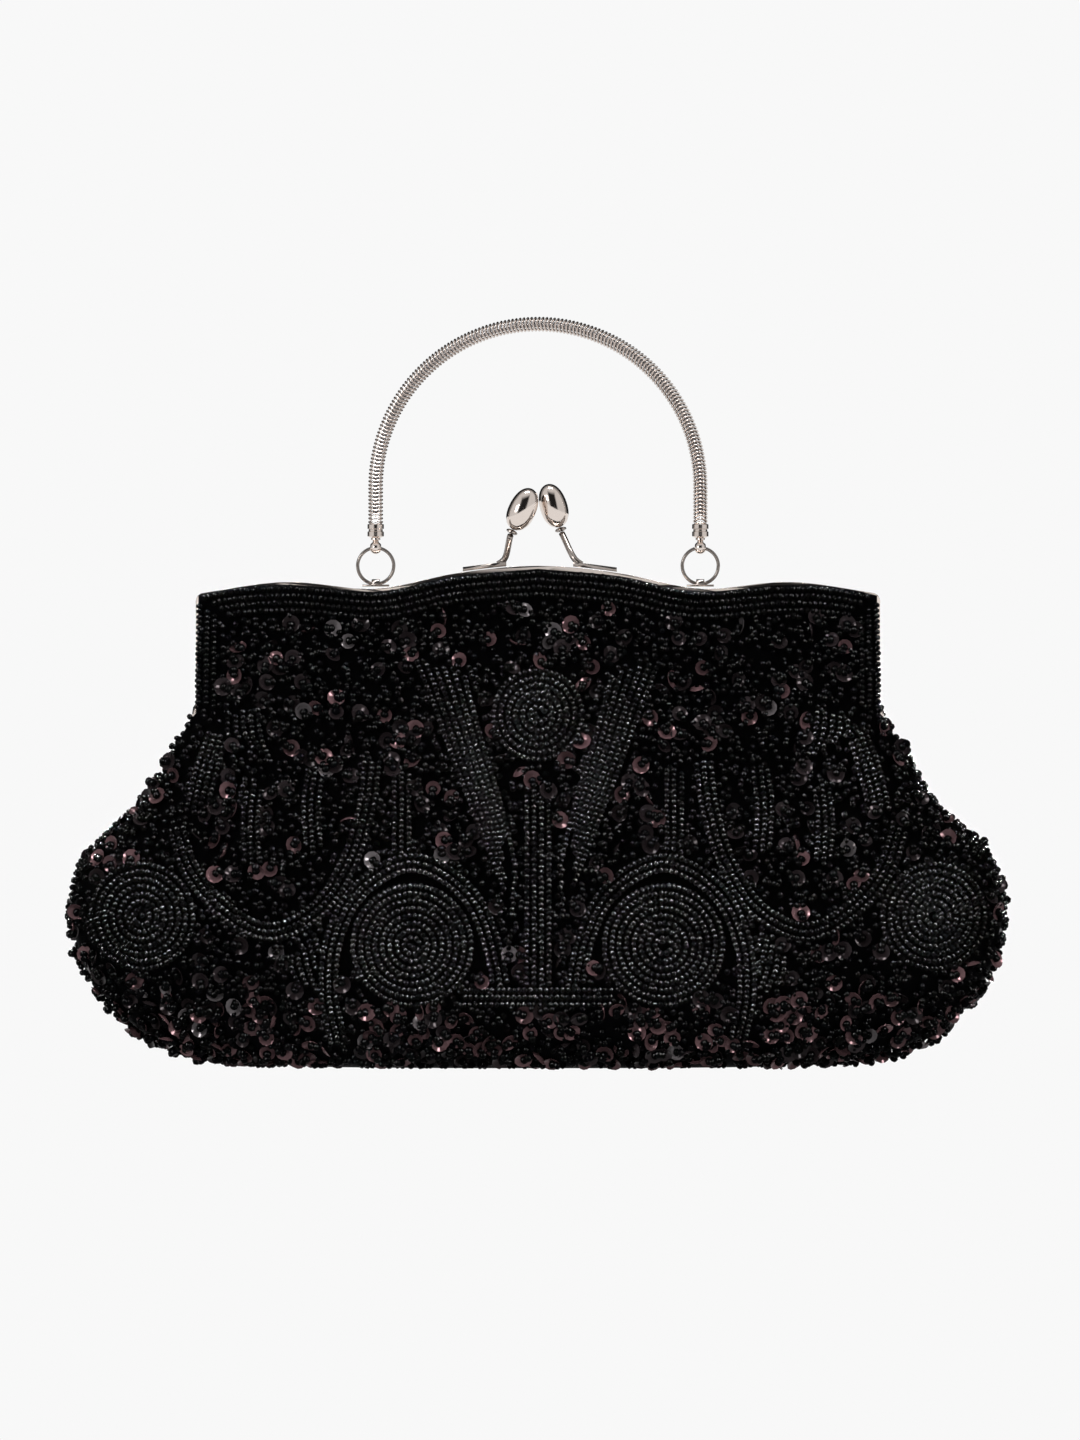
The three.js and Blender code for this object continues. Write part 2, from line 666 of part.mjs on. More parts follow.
function claspCollar(half) {
  const { collarRadius, collarThickness } = clasp;
  const at = knobFoot(half);
  const thickness = collarThickness / 2;
  return turned([
    [0, -thickness], [collarRadius * 0.7, -thickness], [collarRadius, 0],
    [collarRadius * 0.7, thickness], [0, thickness],
  ], 16).rotateY(THREE.MathUtils.degToRad(half.lean)).translate(at.x, at.y, at.z);
}

// A flat foot soldered along the frame's top and a round stem bent up from its inner end.
function claspArm(half, side) {
  const { footLength, footWidth, footThickness, stemRadius } = clasp;
  const outwards = Math.sign(half.footInner);
  const depth = side * frame.depth / 2;
  const outline = (lift) => even(6).map((share) => {
    const x = half.footInner + outwards * share * footLength;
    return new THREE.Vector2(x, frameTop(x) + clearance + lift);
  });
  const shape = new THREE.Shape([...outline(0), ...outline(footThickness).reverse()]);
  const foot = new THREE.ExtrudeGeometry(shape, { depth: footWidth, bevelEnabled: false })
    .rotateX(Math.PI / 2).translate(0, depth + footWidth / 2, 0);
  const collar = knobFoot(half);
  const towards = knobMiddle(half).sub(collar).normalize();
  const stemTop = collar.clone().addScaledVector(towards, -(clasp.collarThickness / 2 + 2 * clearance));
  const footMiddle = frameTop(half.footInner) + clearance + footThickness / 2;
  const rooted = v3(half.footInner + outwards * 2.5, depth, footMiddle);
  const bend = v3(half.footInner + outwards * 0.6, depth, rooted.z + 1.4);
  const path = new THREE.CatmullRomCurve3([rooted, bend, stemTop]);
  const stem = new THREE.ExtrudeGeometry(disc(stemRadius, 10), { steps: 10, extrudePath: path });
  return toGeometry(toSolid(foot).add(toSolid(stem)));
}

// ---- The assembly ----

const bag = new THREE.Group();

function piece(name, geometry, material) {
  const mesh = new THREE.Mesh(geometry, material);
  mesh.name = name;
  bag.add(mesh);
}

for (const [name, side] of [['front', -1], ['rear', 1]]) {
  piece(`frame_${name}`, frameHalf(side), paleMetal);
  piece(`shell_${name}_upper`, upperShell(side), beadedSatin);
  piece(`shell_${name}_lower`, lowerShell(side), beadedSatin);
  piece(`lining_${name}_upper`, upperLining(side), liningSatin);
  piece(`lining_${name}_lower`, lowerLining(side), liningSatin);
  piece(`edge_beads_${name}`, edgeString(side), glassBead);
  for (const [place, hand] of [['left', -1], ['right', 1]]) {
    const outerX = hand * (pouch.bulgeHalfWidth - outerMedallion.fromSide);
    const innerX = hand * innerMedallion.fromMiddle;
    piece(`medallion_${name}_outer_${place}`, medallion(outerX, outerMedallion, side), sequin);
    piece(`medallion_${name}_inner_${place}`, medallion(innerX, innerMedallion, side), sequin);
  }
  piece(`clasp_arm_${name}`, claspArm(clasp[name], side), paleMetal);
  piece(`clasp_collar_${name}`, claspCollar(clasp[name]), paleMetal);
  piece(`clasp_knob_${name}`, knobShape(clasp[name]), paleMetal);
}

for (const [name, hand] of [['left', -1], ['right', 1]]) {
  piece(`hinge_rivet_${name}`, hingeRivet(hand), paleMetal);
  piece(`handle_lug_${name}`, handleLug(hand), paleMetal);
  piece(`handle_ring_${name}`, handleRing(hand), paleMetal);
  piece(`handle_eye_${name}`, handleEye(hand), paleMetal);
  piece(`handle_ferrule_${name}`, handleFerrule(hand), paleMetal);
}

piece('handle_chain', handleChain(), chainMetal);
piece('handle_core', handleCore(), springSteel);
piece('shell_base', plateOf(baseOutline(0), 0, pouch.wall), beadedSatin);
piece('base_board', baseBoard(), greyBoard);
piece('slip_pocket', slipPocket(), liningSatin);

export default bag;
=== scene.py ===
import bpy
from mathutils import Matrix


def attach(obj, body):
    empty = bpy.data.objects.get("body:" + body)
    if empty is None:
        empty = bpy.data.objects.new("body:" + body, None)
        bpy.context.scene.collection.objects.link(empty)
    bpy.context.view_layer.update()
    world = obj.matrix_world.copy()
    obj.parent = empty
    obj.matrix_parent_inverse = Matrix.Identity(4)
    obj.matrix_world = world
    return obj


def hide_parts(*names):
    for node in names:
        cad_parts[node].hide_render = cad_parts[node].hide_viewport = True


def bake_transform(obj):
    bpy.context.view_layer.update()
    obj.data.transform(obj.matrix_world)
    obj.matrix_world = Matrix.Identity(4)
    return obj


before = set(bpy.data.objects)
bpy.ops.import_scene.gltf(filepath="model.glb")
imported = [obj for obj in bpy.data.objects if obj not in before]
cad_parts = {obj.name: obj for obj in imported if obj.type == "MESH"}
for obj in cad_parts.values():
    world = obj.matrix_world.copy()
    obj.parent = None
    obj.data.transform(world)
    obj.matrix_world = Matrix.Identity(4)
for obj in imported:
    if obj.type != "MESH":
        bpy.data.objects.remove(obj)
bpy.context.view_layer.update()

import math

import bmesh
import bpy
import numpy as np
from mathutils import Matrix, Vector

bl_info = {
    "name": "Beaded evening bag",
    "version": (1, 0, 0),
    "blender": (4, 5, 0),
    "location": "View3D > Sidebar > Bag",
    "description": "A beaded kiss-lock evening bag with a snake-chain handle",
    "category": "Object",
}

MM = 0.001
FRONT, REAR = -1, 1
SIDES = {"front": FRONT, "rear": REAR}
HANDS = {"left": -1, "right": 1}


# ---- Shape of the pouch ----


def smooth_curve(points):
    """A function of one number that passes smoothly through (place, value) points."""
    at = np.array([p[0] for p in points], float)
    value = np.array([p[1] for p in points], float)
    slope = np.gradient(value, at)
    rises = np.diff(value) / np.diff(at)
    slope[1:-1] = np.where(rises[:-1] * rises[1:] <= 0, 0, slope[1:-1])

    def curve(x):
        x = np.clip(x, at[0], at[-1])
        i = np.clip(np.searchsorted(at, x) - 1, 0, len(at) - 2)
        step = at[i + 1] - at[i]
        t = (x - at[i]) / step
        return (
            value[i] * (2 * t**3 - 3 * t**2 + 1)
            + value[i + 1] * (3 * t**2 - 2 * t**3)
            + step * slope[i] * (t**3 - 2 * t**2 + t)
            + step * slope[i + 1] * (t**3 - t**2)
        )

    return curve


# All in millimetres, against the height above the base.
half_width = smooth_curve(
    [(0, 72), (1, 82), (2, 89), (5, 106.5), (8, 114.5), (14, 123), (20, 128.5), (29, 135.3), (38, 138)]
    + [(47, 138.4), (56, 137.2), (64, 133), (70, 126.5), (77, 118.7), (83, 114.6), (90, 110.8), (97, 107.2)]
    + [(103, 103.8), (108, 101.6), (112, 101)]
)
half_depth = smooth_curve(
    [(0, 13), (1, 15.6), (3, 18.5), (6, 21), (10, 23.3), (16, 25.5), (25, 27.2), (36, 27.9), (46, 27.9)]
    + [(57, 27), (70, 24.5), (85, 21), (101, 17.4), (112, 15), (125, 12), (140, 9), (150, 7.4)]
)
seam_depth = smooth_curve([(0, 1.2), (82, 1.2), (92, 4), (104, 8.4), (118, 8.2), (150, 7)])
top_rise = smooth_curve(
    [(0, 149.4), (24.3, 147.2), (48.6, 142.6), (75.3, 144.6), (101, 141.4), (103, 140.8)]
)
SQUARENESS = 2.4


def frame_top(x):
    return top_rise(np.abs(x))


def wall_depth(x, z):
    """How far the fabric stands from the middle plane at (x, z), in mm."""
    share = np.clip(np.abs(x) / half_width(z), 0, 1)
    full = np.maximum(0, 1 - share**SQUARENESS) ** (1 / SQUARENESS)
    seam = seam_depth(z)
    return seam + (half_depth(z) - seam) * full


def wall_points(x, z, side, lift=0.0):
    """Places on a wall, lifted off it along its normal, and those normals."""
    x, z = np.broadcast_arrays(np.asarray(x, float), np.asarray(z, float))
    step = 0.25
    inside = half_width(z) - 0.35
    xc = np.clip(x, -inside, inside)
    depth = wall_depth(xc, z)
    slope_x = (wall_depth(xc + step, z) - wall_depth(xc - step, z)) / (2 * step)
    slope_z = (wall_depth(xc, z + step) - wall_depth(xc, z - step)) / (2 * step)
    normal = np.stack([-slope_x, np.full(depth.shape, float(side)), -slope_z], -1)
    normal /= np.linalg.norm(normal, axis=-1, keepdims=True)
    place = np.stack([xc, side * depth, z], -1) + normal * lift
    return place, normal


# ---- Working with meshes ----


def deselect():
    if bpy.context.object and bpy.context.object.mode != "OBJECT":
        bpy.ops.object.mode_set(mode="OBJECT")
    bpy.ops.object.select_all(action="DESELECT")


def named(name):
    """The object just added, renamed, with its mesh."""
    piece = bpy.context.object
    piece.name = name
    piece.data.name = name
    return piece


def edit(piece):
    """Starts editing piece, with all of it selected."""
    deselect()
    bpy.context.view_layer.objects.active = piece
    piece.select_set(True)
    bpy.ops.object.mode_set(mode="EDIT")
    bpy.ops.mesh.select_mode(type="VERT")
    bpy.ops.mesh.select_all(action="SELECT")


def modify(piece, kind, **settings):
    """Adds a modifier to piece and applies it."""
    deselect()
    bpy.context.view_layer.objects.active = piece
    piece.select_set(True)
    modifier = piece.modifiers.new(kind.title(), kind)
    for key, value in settings.items():
        setattr(modifier, key, value)
    bpy.ops.object.modifier_apply(modifier=modifier.name)
    return piece


def smooth(piece, angle=None):
    """Shades piece smooth, with edges over angle degrees kept sharp."""
    deselect()
    bpy.context.view_layer.objects.active = piece
    piece.select_set(True)
    if angle is None:
        bpy.ops.object.shade_smooth()
    else:
        bpy.ops.object.shade_smooth_by_angle(angle=math.radians(angle))
    return piece


def outward(piece):
    """Closes piece where its corners meet, and turns its faces to the outside."""
    edit(piece)
    bpy.ops.mesh.remove_doubles(threshold=1e-6)
    bpy.ops.mesh.normals_make_consistent(inside=False)
    bpy.ops.object.mode_set(mode="OBJECT")
    return piece


def turned(name, profile, sides):
    """A piece turned about Z: a circle extruded and resized through (radius, height) steps, in mm.

    A first or last radius of 0 closes that end to a point.
    """
    deselect()
    first = 1 if profile[0][0] == 0 else 0
    radius, height = profile[first]
    bpy.ops.mesh.primitive_circle_add(
        vertices=sides, radius=radius * MM, location=(0, 0, height * MM), fill_type="NOTHING"
    )
    piece = named(name)
    bpy.ops.object.transform_apply(location=True, rotation=True, scale=True)
    edit(piece)
    if first:
        bpy.ops.mesh.edge_face_add()
        bpy.ops.mesh.poke(offset=0)
        tip_to(piece, lambda co: co.xy.length < radius * MM * 0.3, profile[0][1] * MM)
        pick(piece, lambda co: abs(co.xy.length - radius * MM) < 1e-6)
    for (old, low), (new, high) in zip(profile[first:], profile[first + 1 :]):
        if new == 0:
            bpy.ops.mesh.edge_face_add()
            bpy.ops.mesh.poke(offset=0)
            level = low * MM
            tip_to(piece, lambda co: co.xy.length < 1e-6 and abs(co.z - level) < 1e-6, high * MM)
            break
        bpy.ops.mesh.extrude_edges_move(TRANSFORM_OT_translate={"value": (0, 0, (high - low) * MM)})
        share = new / old
        bpy.ops.transform.resize(value=(share, share, 1), center_override=(0, 0, high * MM))
    bpy.ops.object.mode_set(mode="OBJECT")
    return piece


def pick(piece, test):
    """Selects the corners that pass test, and the edges between them."""
    mesh = bmesh.from_edit_mesh(piece.data)
    for face in mesh.faces:
        face.select = False
    for vertex in mesh.verts:
        vertex.select = test(vertex.co)
    for edge in mesh.edges:
        edge.select = edge.verts[0].select and edge.verts[1].select
    bmesh.update_edit_mesh(piece.data)


def tip_to(piece, test, height):
    """Moves the corners that pass test to height."""
    mesh = bmesh.from_edit_mesh(piece.data)
    for vertex in mesh.verts:
        if test(vertex.co):
            vertex.co.z = height
    bmesh.update_edit_mesh(piece.data)


def placed(piece, matrix):
    """piece moved in its mesh, so that its object stays at the origin."""
    piece.data.transform(matrix)
    return piece


def reshape(piece, move):
    """Each vertex of piece put where move sends it, in mm."""
    co = np.empty(len(piece.data.vertices) * 3)
    piece.data.vertices.foreach_get("co", co)
    co = move(co.reshape(-1, 3) / MM) * MM
    piece.data.vertices.foreach_set("co", co.ravel())
    piece.data.update()
    return piece


def as_template(piece):
    """The corners and faces of a modelled piece, which is then taken away: what copies are made from."""
    mesh = piece.data
    co = np.empty(len(mesh.vertices) * 3)
    mesh.vertices.foreach_get("co", co)
    faces = [list(face.vertices) for face in mesh.polygons]
    bpy.data.objects.remove(piece)
    return co.reshape(-1, 3) / MM, faces


def cell_layout(corners, faces):
    """Where each face corner of one copy lies in its own cell of the baking map."""
    spread = corners - corners.mean(0)
    reach = np.abs(spread).max()
    flat = spread[:, :2] / reach * 0.35 + 0.5
    return np.array([flat[v] for face in faces for v in face])


def copies(name, template, places, axes, tints, sizes=None):
    """One mesh that holds a copy of template at each place, turned to the columns of axes."""
    corners, faces = template
    count = len(places)
    size = np.ones(count) if sizes is None else sizes
    co = np.einsum("nij,vj->nvi", axes, corners) * size[:, None, None] + places[:, None, :]
    around = np.array([v for face in faces for v in face])
    lengths = np.array([len(face) for face in faces])
    index = (around[None, :] + len(corners) * np.arange(count)[:, None]).ravel()
    mesh = bpy.data.meshes.new(name)
    mesh.vertices.add(count * len(corners))
    mesh.vertices.foreach_set("co", (co * MM).astype(np.float32).ravel())
    mesh.loops.add(len(index))
    mesh.loops.foreach_set("vertex_index", index.astype(np.int32))
    mesh.polygons.add(count * len(faces))
    starts = np.concatenate([[0], np.cumsum(np.tile(lengths, count))[:-1]])
    mesh.polygons.foreach_set("loop_start", starts.astype(np.int32))
    mesh.update(calc_edges=True)
    tint = mesh.attributes.new("tint", "FLOAT_COLOR", "POINT")
    colour = np.concatenate([tints, np.ones((count, 1))], 1)
    tint.data.foreach_set("color", np.repeat(colour, len(corners), 0).astype(np.float32).ravel())
    across = math.ceil(math.sqrt(count))
    cell = np.stack([np.arange(count) % across, np.arange(count) // across], -1)
    layout = (cell[:, None, :] + cell_layout(corners, faces)[None]) / across
    chart = mesh.uv_layers.new(name="OFBake")
    chart.data.foreach_set("uv", layout.astype(np.float32).ravel())
    mesh.validate()
    piece = bpy.data.objects.new(name, mesh)
    bpy.context.scene.collection.objects.link(piece)
    return smooth(piece, 50)


# ---- Finishes ----


def material(name):
    """A new material with its nodes, its links and its shader."""
    finish = bpy.data.materials.new(name)
    finish.use_nodes = True
    nodes, links = finish.node_tree.nodes, finish.node_tree.links
    return finish, nodes, links, nodes["Principled BSDF"]


def object_noise(nodes, links, scale, detail=3.0, stretch=None):
    """Cloudy noise fixed to the piece."""
    place = nodes.new("ShaderNodeTexCoord")
    noise = nodes.new("ShaderNodeTexNoise")
    noise.inputs["Scale"].default_value = scale
    noise.inputs["Detail"].default_value = detail
    source = place.outputs["Object"]
    if stretch:
        mapping = nodes.new("ShaderNodeMapping")
        mapping.inputs["Scale"].default_value = stretch
        links.new(source, mapping.inputs["Vector"])
        source = mapping.outputs["Vector"]
    links.new(source, noise.inputs["Vector"])
    return noise.outputs["Fac"]


def ramp(nodes, links, factor, low, high, start=0.3, end=0.7):
    """From low to high as factor goes from start to end."""
    blend = nodes.new("ShaderNodeMapRange")
    blend.inputs["From Min"].default_value = start
    blend.inputs["From Max"].default_value = end
    blend.inputs["To Min"].default_value = low
    blend.inputs["To Max"].default_value = high
    links.new(factor, blend.inputs["Value"])
    return blend.outputs["Result"]


def larger(nodes, links, first, second):
    """The larger of two values."""
    most = nodes.new("ShaderNodeMath")
    most.operation = "MAXIMUM"
    links.new(first, most.inputs[0])
    links.new(second, most.inputs[1])
    return most.outputs["Value"]


def two_colours(nodes, links, factor, first, second):
    mix = nodes.new("ShaderNodeMix")
    mix.data_type = "RGBA"
    mix.inputs["A"].default_value = (*first, 1)
    mix.inputs["B"].default_value = (*second, 1)
    links.new(factor, mix.inputs["Factor"])
    return mix.outputs["Result"]


def bump(nodes, links, height, shader, strength, distance):
    relief = nodes.new("ShaderNodeBump")
    relief.inputs["Strength"].default_value = strength
    relief.inputs["Distance"].default_value = distance
    links.new(height, relief.inputs["Height"])
    links.new(relief.outputs["Normal"], shader.inputs["Normal"])


def plated_metal(name, colour, rough):
    """Bright plating with faint wear and fine rubbing marks."""
    finish, nodes, links, shader = material(name)
    cloud = object_noise(nodes, links, 260)
    worn = tuple(c * 0.86 for c in colour)
    links.new(two_colours(nodes, links, cloud, worn, colour), shader.inputs["Base Color"])
    marks = object_noise(nodes, links, 900, 4, (1, 1, 0.2))
    links.new(ramp(nodes, links, marks, rough * 0.7, rough * 1.5), shader.inputs["Roughness"])
    bump(nodes, links, marks, shader, 0.05, 0.0001)
    shader.inputs["Metallic"].default_value = 1
    return finish


def woven_satin(name, colour, pitch, sheen):
    """Black satin: long floats that catch the light, over a fine weave."""
    finish, nodes, links, shader = material(name)
    place = nodes.new("ShaderNodeTexCoord")
    weave = nodes.new("ShaderNodeTexWave")
    weave.bands_direction = "DIAGONAL"
    weave.inputs["Scale"].default_value = 1 / pitch
    weave.inputs["Distortion"].default_value = 1.2
    links.new(place.outputs["Object"], weave.inputs["Vector"])
    cloud = object_noise(nodes, links, 55)
    lighter = tuple(c * 1.8 for c in colour)
    links.new(two_colours(nodes, links, cloud, colour, lighter), shader.inputs["Base Color"])
    links.new(ramp(nodes, links, cloud, 0.5, 0.7), shader.inputs["Roughness"])
    bump(nodes, links, weave.outputs["Fac"], shader, 0.25, 0.0003)
    shader.inputs["Specular IOR Level"].default_value = 0.004
    shader.inputs["Sheen Weight"].default_value = sheen
    shader.inputs["Sheen Roughness"].default_value = 0.4
    return finish


def tinted_gloss(name, smoothest, roughest, metal, shine, marks):
    """Small glossy pieces, each with its own tint, some polished better than others."""
    finish, nodes, links, shader = material(name)
    tint = nodes.new("ShaderNodeVertexColor")
    tint.layer_name = "tint"
    links.new(tint.outputs["Color"], shader.inputs["Base Color"])
    cloud = object_noise(nodes, links, marks)
    links.new(ramp(nodes, links, cloud, smoothest, roughest, 0.35, 0.65), shader.inputs["Roughness"])
    shader.inputs["Metallic"].default_value = metal
    shader.inputs["Specular IOR Level"].default_value = shine
    return finish


def grey_card(name):
    """Matt fibrous board."""
    finish, nodes, links, shader = material(name)
    fibre = object_noise(nodes, links, 700, 5, (1, 0.4, 1))
    shade = two_colours(nodes, links, fibre, (0.3, 0.27, 0.24), (0.45, 0.42, 0.38))
    links.new(shade, shader.inputs["Base Color"])
    links.new(ramp(nodes, links, fibre, 0.85, 0.95), shader.inputs["Roughness"])
    return finish


def finish_of(name):
    """A finish by name, made the first time it is asked for."""
    if name in bpy.data.materials:
        return bpy.data.materials[name]
    colours = bpy.context.scene.bag_colours
    makers = {
        "pale_nickel": lambda: plated_metal(name, tuple(colours.metal), 0.09),
        # Arms, collars and lugs: the frame's own plating at half brightness, painted shade standing in for
        # the shadow under and along them
        "arm_nickel_painted_shade": lambda: plated_metal(name, tuple(0.5 * c for c in colours.metal), 0.14),
        # Ring wire: the frame's own plating at 0.4 brightness, painted shade standing in for the dark look
        # of the thin wire
        "ring_nickel_painted_shade": lambda: plated_metal(name, tuple(0.4 * c for c in colours.metal), 0.12),
        "chain_nickel": lambda: plated_metal(name, tuple(colours.chain), 0.2),
        "drawn_steel": lambda: plated_metal(name, (0.55, 0.56, 0.58), 0.3),
        "outer_satin": lambda: woven_satin(name, tuple(colours.satin), 0.0009, 0.004),
        "lining_satin": lambda: woven_satin(name, tuple(colours.lining), 0.0007, 0.1),
        "jet_bead": lambda: tinted_gloss(name, 0.05, 0.16, 0, 0.0145, 450),
        "loose_bead": lambda: tinted_gloss(name, 0.07, 0.22, 0, 0.0045, 450),
        "sequin_film": lambda: tinted_gloss(name, 0.1, 0.2, 0.5, 0.1, 300),
        "board_card": lambda: grey_card(name),
    }
    return makers[name]()


def dressed(piece, finish, body=None, nodes=()):
    """piece with its finish, the body it rides on and the CAD nodes it stands for."""
    piece.data.materials.clear()
    piece.data.materials.append(finish_of(finish))
    if body:
        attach(piece, body)
    if nodes:
        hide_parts(*nodes)
    return piece


def folded(piece):
    """piece with its placing baked into its mesh."""
    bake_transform(piece)
    return piece


# ---- Fabric ----


# The side seam turns in over this height below the hinge, by this much at its top.
TUCK_LOW, TUCK_HIGH, TUCK_IN = 80, 104, 3.5


def tuck(z):
    """How far the side seam turns in at a height, so that the cloth can fold there."""
    return np.clip((z - TUCK_LOW) / (TUCK_HIGH - TUCK_LOW), 0, 1) * TUCK_IN


def wall_grid(side, inset, top_drop, bottom, finish_edge):
    """Rows of points up a wall, each row running from one side seam to the other."""
    steps = np.linspace(-1, 1, 97)
    spread = np.sin(steps * math.pi / 2)
    levels = np.concatenate(
        [bottom + (104 - bottom) * np.linspace(0, 1, 44) ** 1.25, np.linspace(0, 1, 17)[1:] + 1000]
    )
    rows = []
    for level in levels:
        if level >= 1000:
            x = spread * (half_width(np.array(112.0)) - inset)
            top = frame_top(x) - top_drop
            z = 104 + (top - 104) * (level - 1000)
        else:
            z = np.full(len(steps), level)
            x = spread * (half_width(z) - inset)
        limit = half_width(z)
        x = np.clip(x, -limit, limit)
        depth = np.maximum(wall_depth(x, z) - inset, finish_edge)
        row = np.stack([x, side * depth, z], -1)
        ends = []
        for end, hand in ((row[0], -1), (row[-1], 1)):
            fold = tuck(end[2])
            middle = np.array([end[0] - hand * fold, side * 0.15, end[2]])
            ends.append([middle, (middle + end) / 2 - np.array([hand * fold * 0.3, 0, 0])])
        rows.append(np.concatenate([ends[0], row, ends[1][::-1]]))
    return np.array(rows)


def sheet_from(name, rows, flip):
    """A grid primitive reshaped to rows of points, faces to the outside."""
    tall, wide = rows.shape[:2]
    deselect()
    bpy.ops.mesh.primitive_grid_add(x_subdivisions=wide - 1, y_subdivisions=tall - 1, size=1)
    piece = named(name)
    co = np.empty(len(piece.data.vertices) * 3)
    piece.data.vertices.foreach_get("co", co)
    co = co.reshape(-1, 3)
    column = np.rint((co[:, 0] + 0.5) * (wide - 1)).astype(int)
    row = np.rint((co[:, 1] + 0.5) * (tall - 1)).astype(int)
    piece.data.vertices.foreach_set("co", (rows[row, column] * MM).ravel())
    piece.data.update()
    if flip:
        edit(piece)
        bpy.ops.mesh.flip_normals()
        bpy.ops.object.mode_set(mode="OBJECT")
    return piece


class BAG_OT_walls(bpy.types.Operator):
    """Lofts the outer satin of both walls and the base they meet in"""

    bl_idname = "bag.walls"
    bl_label = "Outer Walls"

    def execute(self, context):
        for name, side in SIDES.items():
            piece = sheet_from(f"satin_{name}", wall_grid(side, 0, 0.9, 0.0, 0.15), side > 0)
            modify(piece, "SOLIDIFY", thickness=1.0 * MM, offset=-1)
            smooth(piece)
            nodes = [f"shell_{name}_upper", f"shell_{name}_lower"]
            dressed(piece, "outer_satin", nodes=nodes)
            folded(piece)
        deselect()
        bpy.ops.mesh.primitive_circle_add(vertices=96, radius=1, fill_type="NGON")
        base = named("satin_base")
        edit(base)
        for _ in range(4):
            bpy.ops.mesh.inset(thickness=0.2)
        bpy.ops.object.mode_set(mode="OBJECT")

        def to_base(co):
            co = co * MM
            reach = np.linalg.norm(co[:, :2], axis=1)
            turn = np.arctan2(co[:, 1], co[:, 0])
            wide, deep = np.abs(np.cos(turn)) ** (2 / SQUARENESS), np.abs(np.sin(turn)) ** (2 / SQUARENESS)
            x = np.sign(np.cos(turn)) * wide * (half_width(0) + 0.3)
            y = np.sign(np.sin(turn)) * (seam_depth(0) + (half_depth(0) - seam_depth(0) + 0.3) * deep)
            return np.stack([x * reach, y * reach, np.full(len(co), 0.25)], -1)

        reshape(base, to_base)
        modify(base, "SOLIDIFY", thickness=1.0 * MM, offset=1)
        dressed(smooth(outward(base), 40), "outer_satin", "pouch", ["shell_base"])
        for name, hand in HANDS.items():
            self.side_seam(name, hand)
        return {"FINISHED"}

    def side_seam(self, name, hand):
        """A fine piping that closes the seam between the walls."""
        levels = np.linspace(0.8, 103.5, 70)
        profile = [(0, levels[0])] + [(0.6, z) for z in levels] + [(0, levels[-1])]
        piping = outward(turned(f"side_seam_{name}", profile, 8))

        def along_seam(co):
            co[:, 0] += hand * (half_width(co[:, 2]) - tuck(co[:, 2]) - 0.2)
            return co

        reshape(piping, along_seam)
        dressed(smooth(piping), "outer_satin", "pouch")


class BAG_OT_lining(bpy.types.Operator):
    """Lofts the satin lining and the slip pocket"""

    bl_idname = "bag.lining"
    bl_label = "Lining and Pocket"

    def execute(self, context):
        for name, side in SIDES.items():
            rows = wall_grid(side, 2.6, 8.0, 4.2, 0.3)
            piece = sheet_from(f"lining_{name}", rows, side > 0)
            modify(piece, "SOLIDIFY", thickness=0.6 * MM, offset=-1)
            smooth(piece)
            nodes = [f"lining_{name}_upper", f"lining_{name}_lower"]
            dressed(piece, "lining_satin", nodes=nodes)
            folded(piece)
        across = np.linspace(-45, 45, 31)
        rows = []
        for share in np.linspace(0, 1, 17):
            z = np.full(31, 20 + 44 * share)
            belly = 8 * (1 - (across / 45) ** 4) * math.sin(min(1, share * 2) * math.pi / 2)
            rows.append(np.stack([across, wall_depth(across, z) - 3.7 - belly, z], -1))
        pocket = sheet_from("slip_pocket_cloth", np.array(rows), True)
        modify(pocket, "SOLIDIFY", thickness=0.7 * MM, offset=-1)
        dressed(smooth(pocket, 60), "lining_satin", "pouch", ["slip_pocket"])
        return {"FINISHED"}


# ---- Beadwork ----


def bead_template():
    """A seed bead lying along X, with its hole dished in at both ends."""
    sizes = bpy.context.scene.bag_sizes
    radius = sizes.bead_width / MM / 2
    half = sizes.bead_length / MM / 2
    profile = [(0, -half * 0.45), (radius * 0.5, -half), (radius, -half * 0.45)]
    profile += [(radius, half * 0.45), (radius * 0.5, half), (0, half * 0.45)]
    bead = turned("bead_master", profile, 7)
    outward(bead)
    placed(bead, Matrix.Rotation(math.pi / 2, 4, "Y"))
    return as_template(bead)


def sequin_template():
    """A cupped sequin facing +Z, a closed film with a hole in its middle."""
    radius = bpy.context.scene.bag_sizes.sequin_width / MM / 2
    lift, film = 0.8, 0.09
    profile = [(0.45, 0), (radius * 0.5, 0.05), (radius, lift), (radius, lift + film)]
    profile += [(radius * 0.5, 0.05 + film), (0.45, film), (0.45, 0)]
    return as_template(outward(turned("sequin_master", profile, 11)))


def unit(v):
    return v / np.maximum(np.linalg.norm(v, axis=-1, keepdims=True), 1e-9)


def spline(points, count=60):
    """A smooth run of (x, z) through points."""
    points = np.array(points, float)
    at = np.concatenate([[0], np.cumsum(np.linalg.norm(np.diff(points, axis=0), axis=1))])
    fine = np.linspace(0, at[-1], count)
    return np.stack([smooth_curve(list(zip(at, points[:, k])))(fine) for k in (0, 1)], -1)


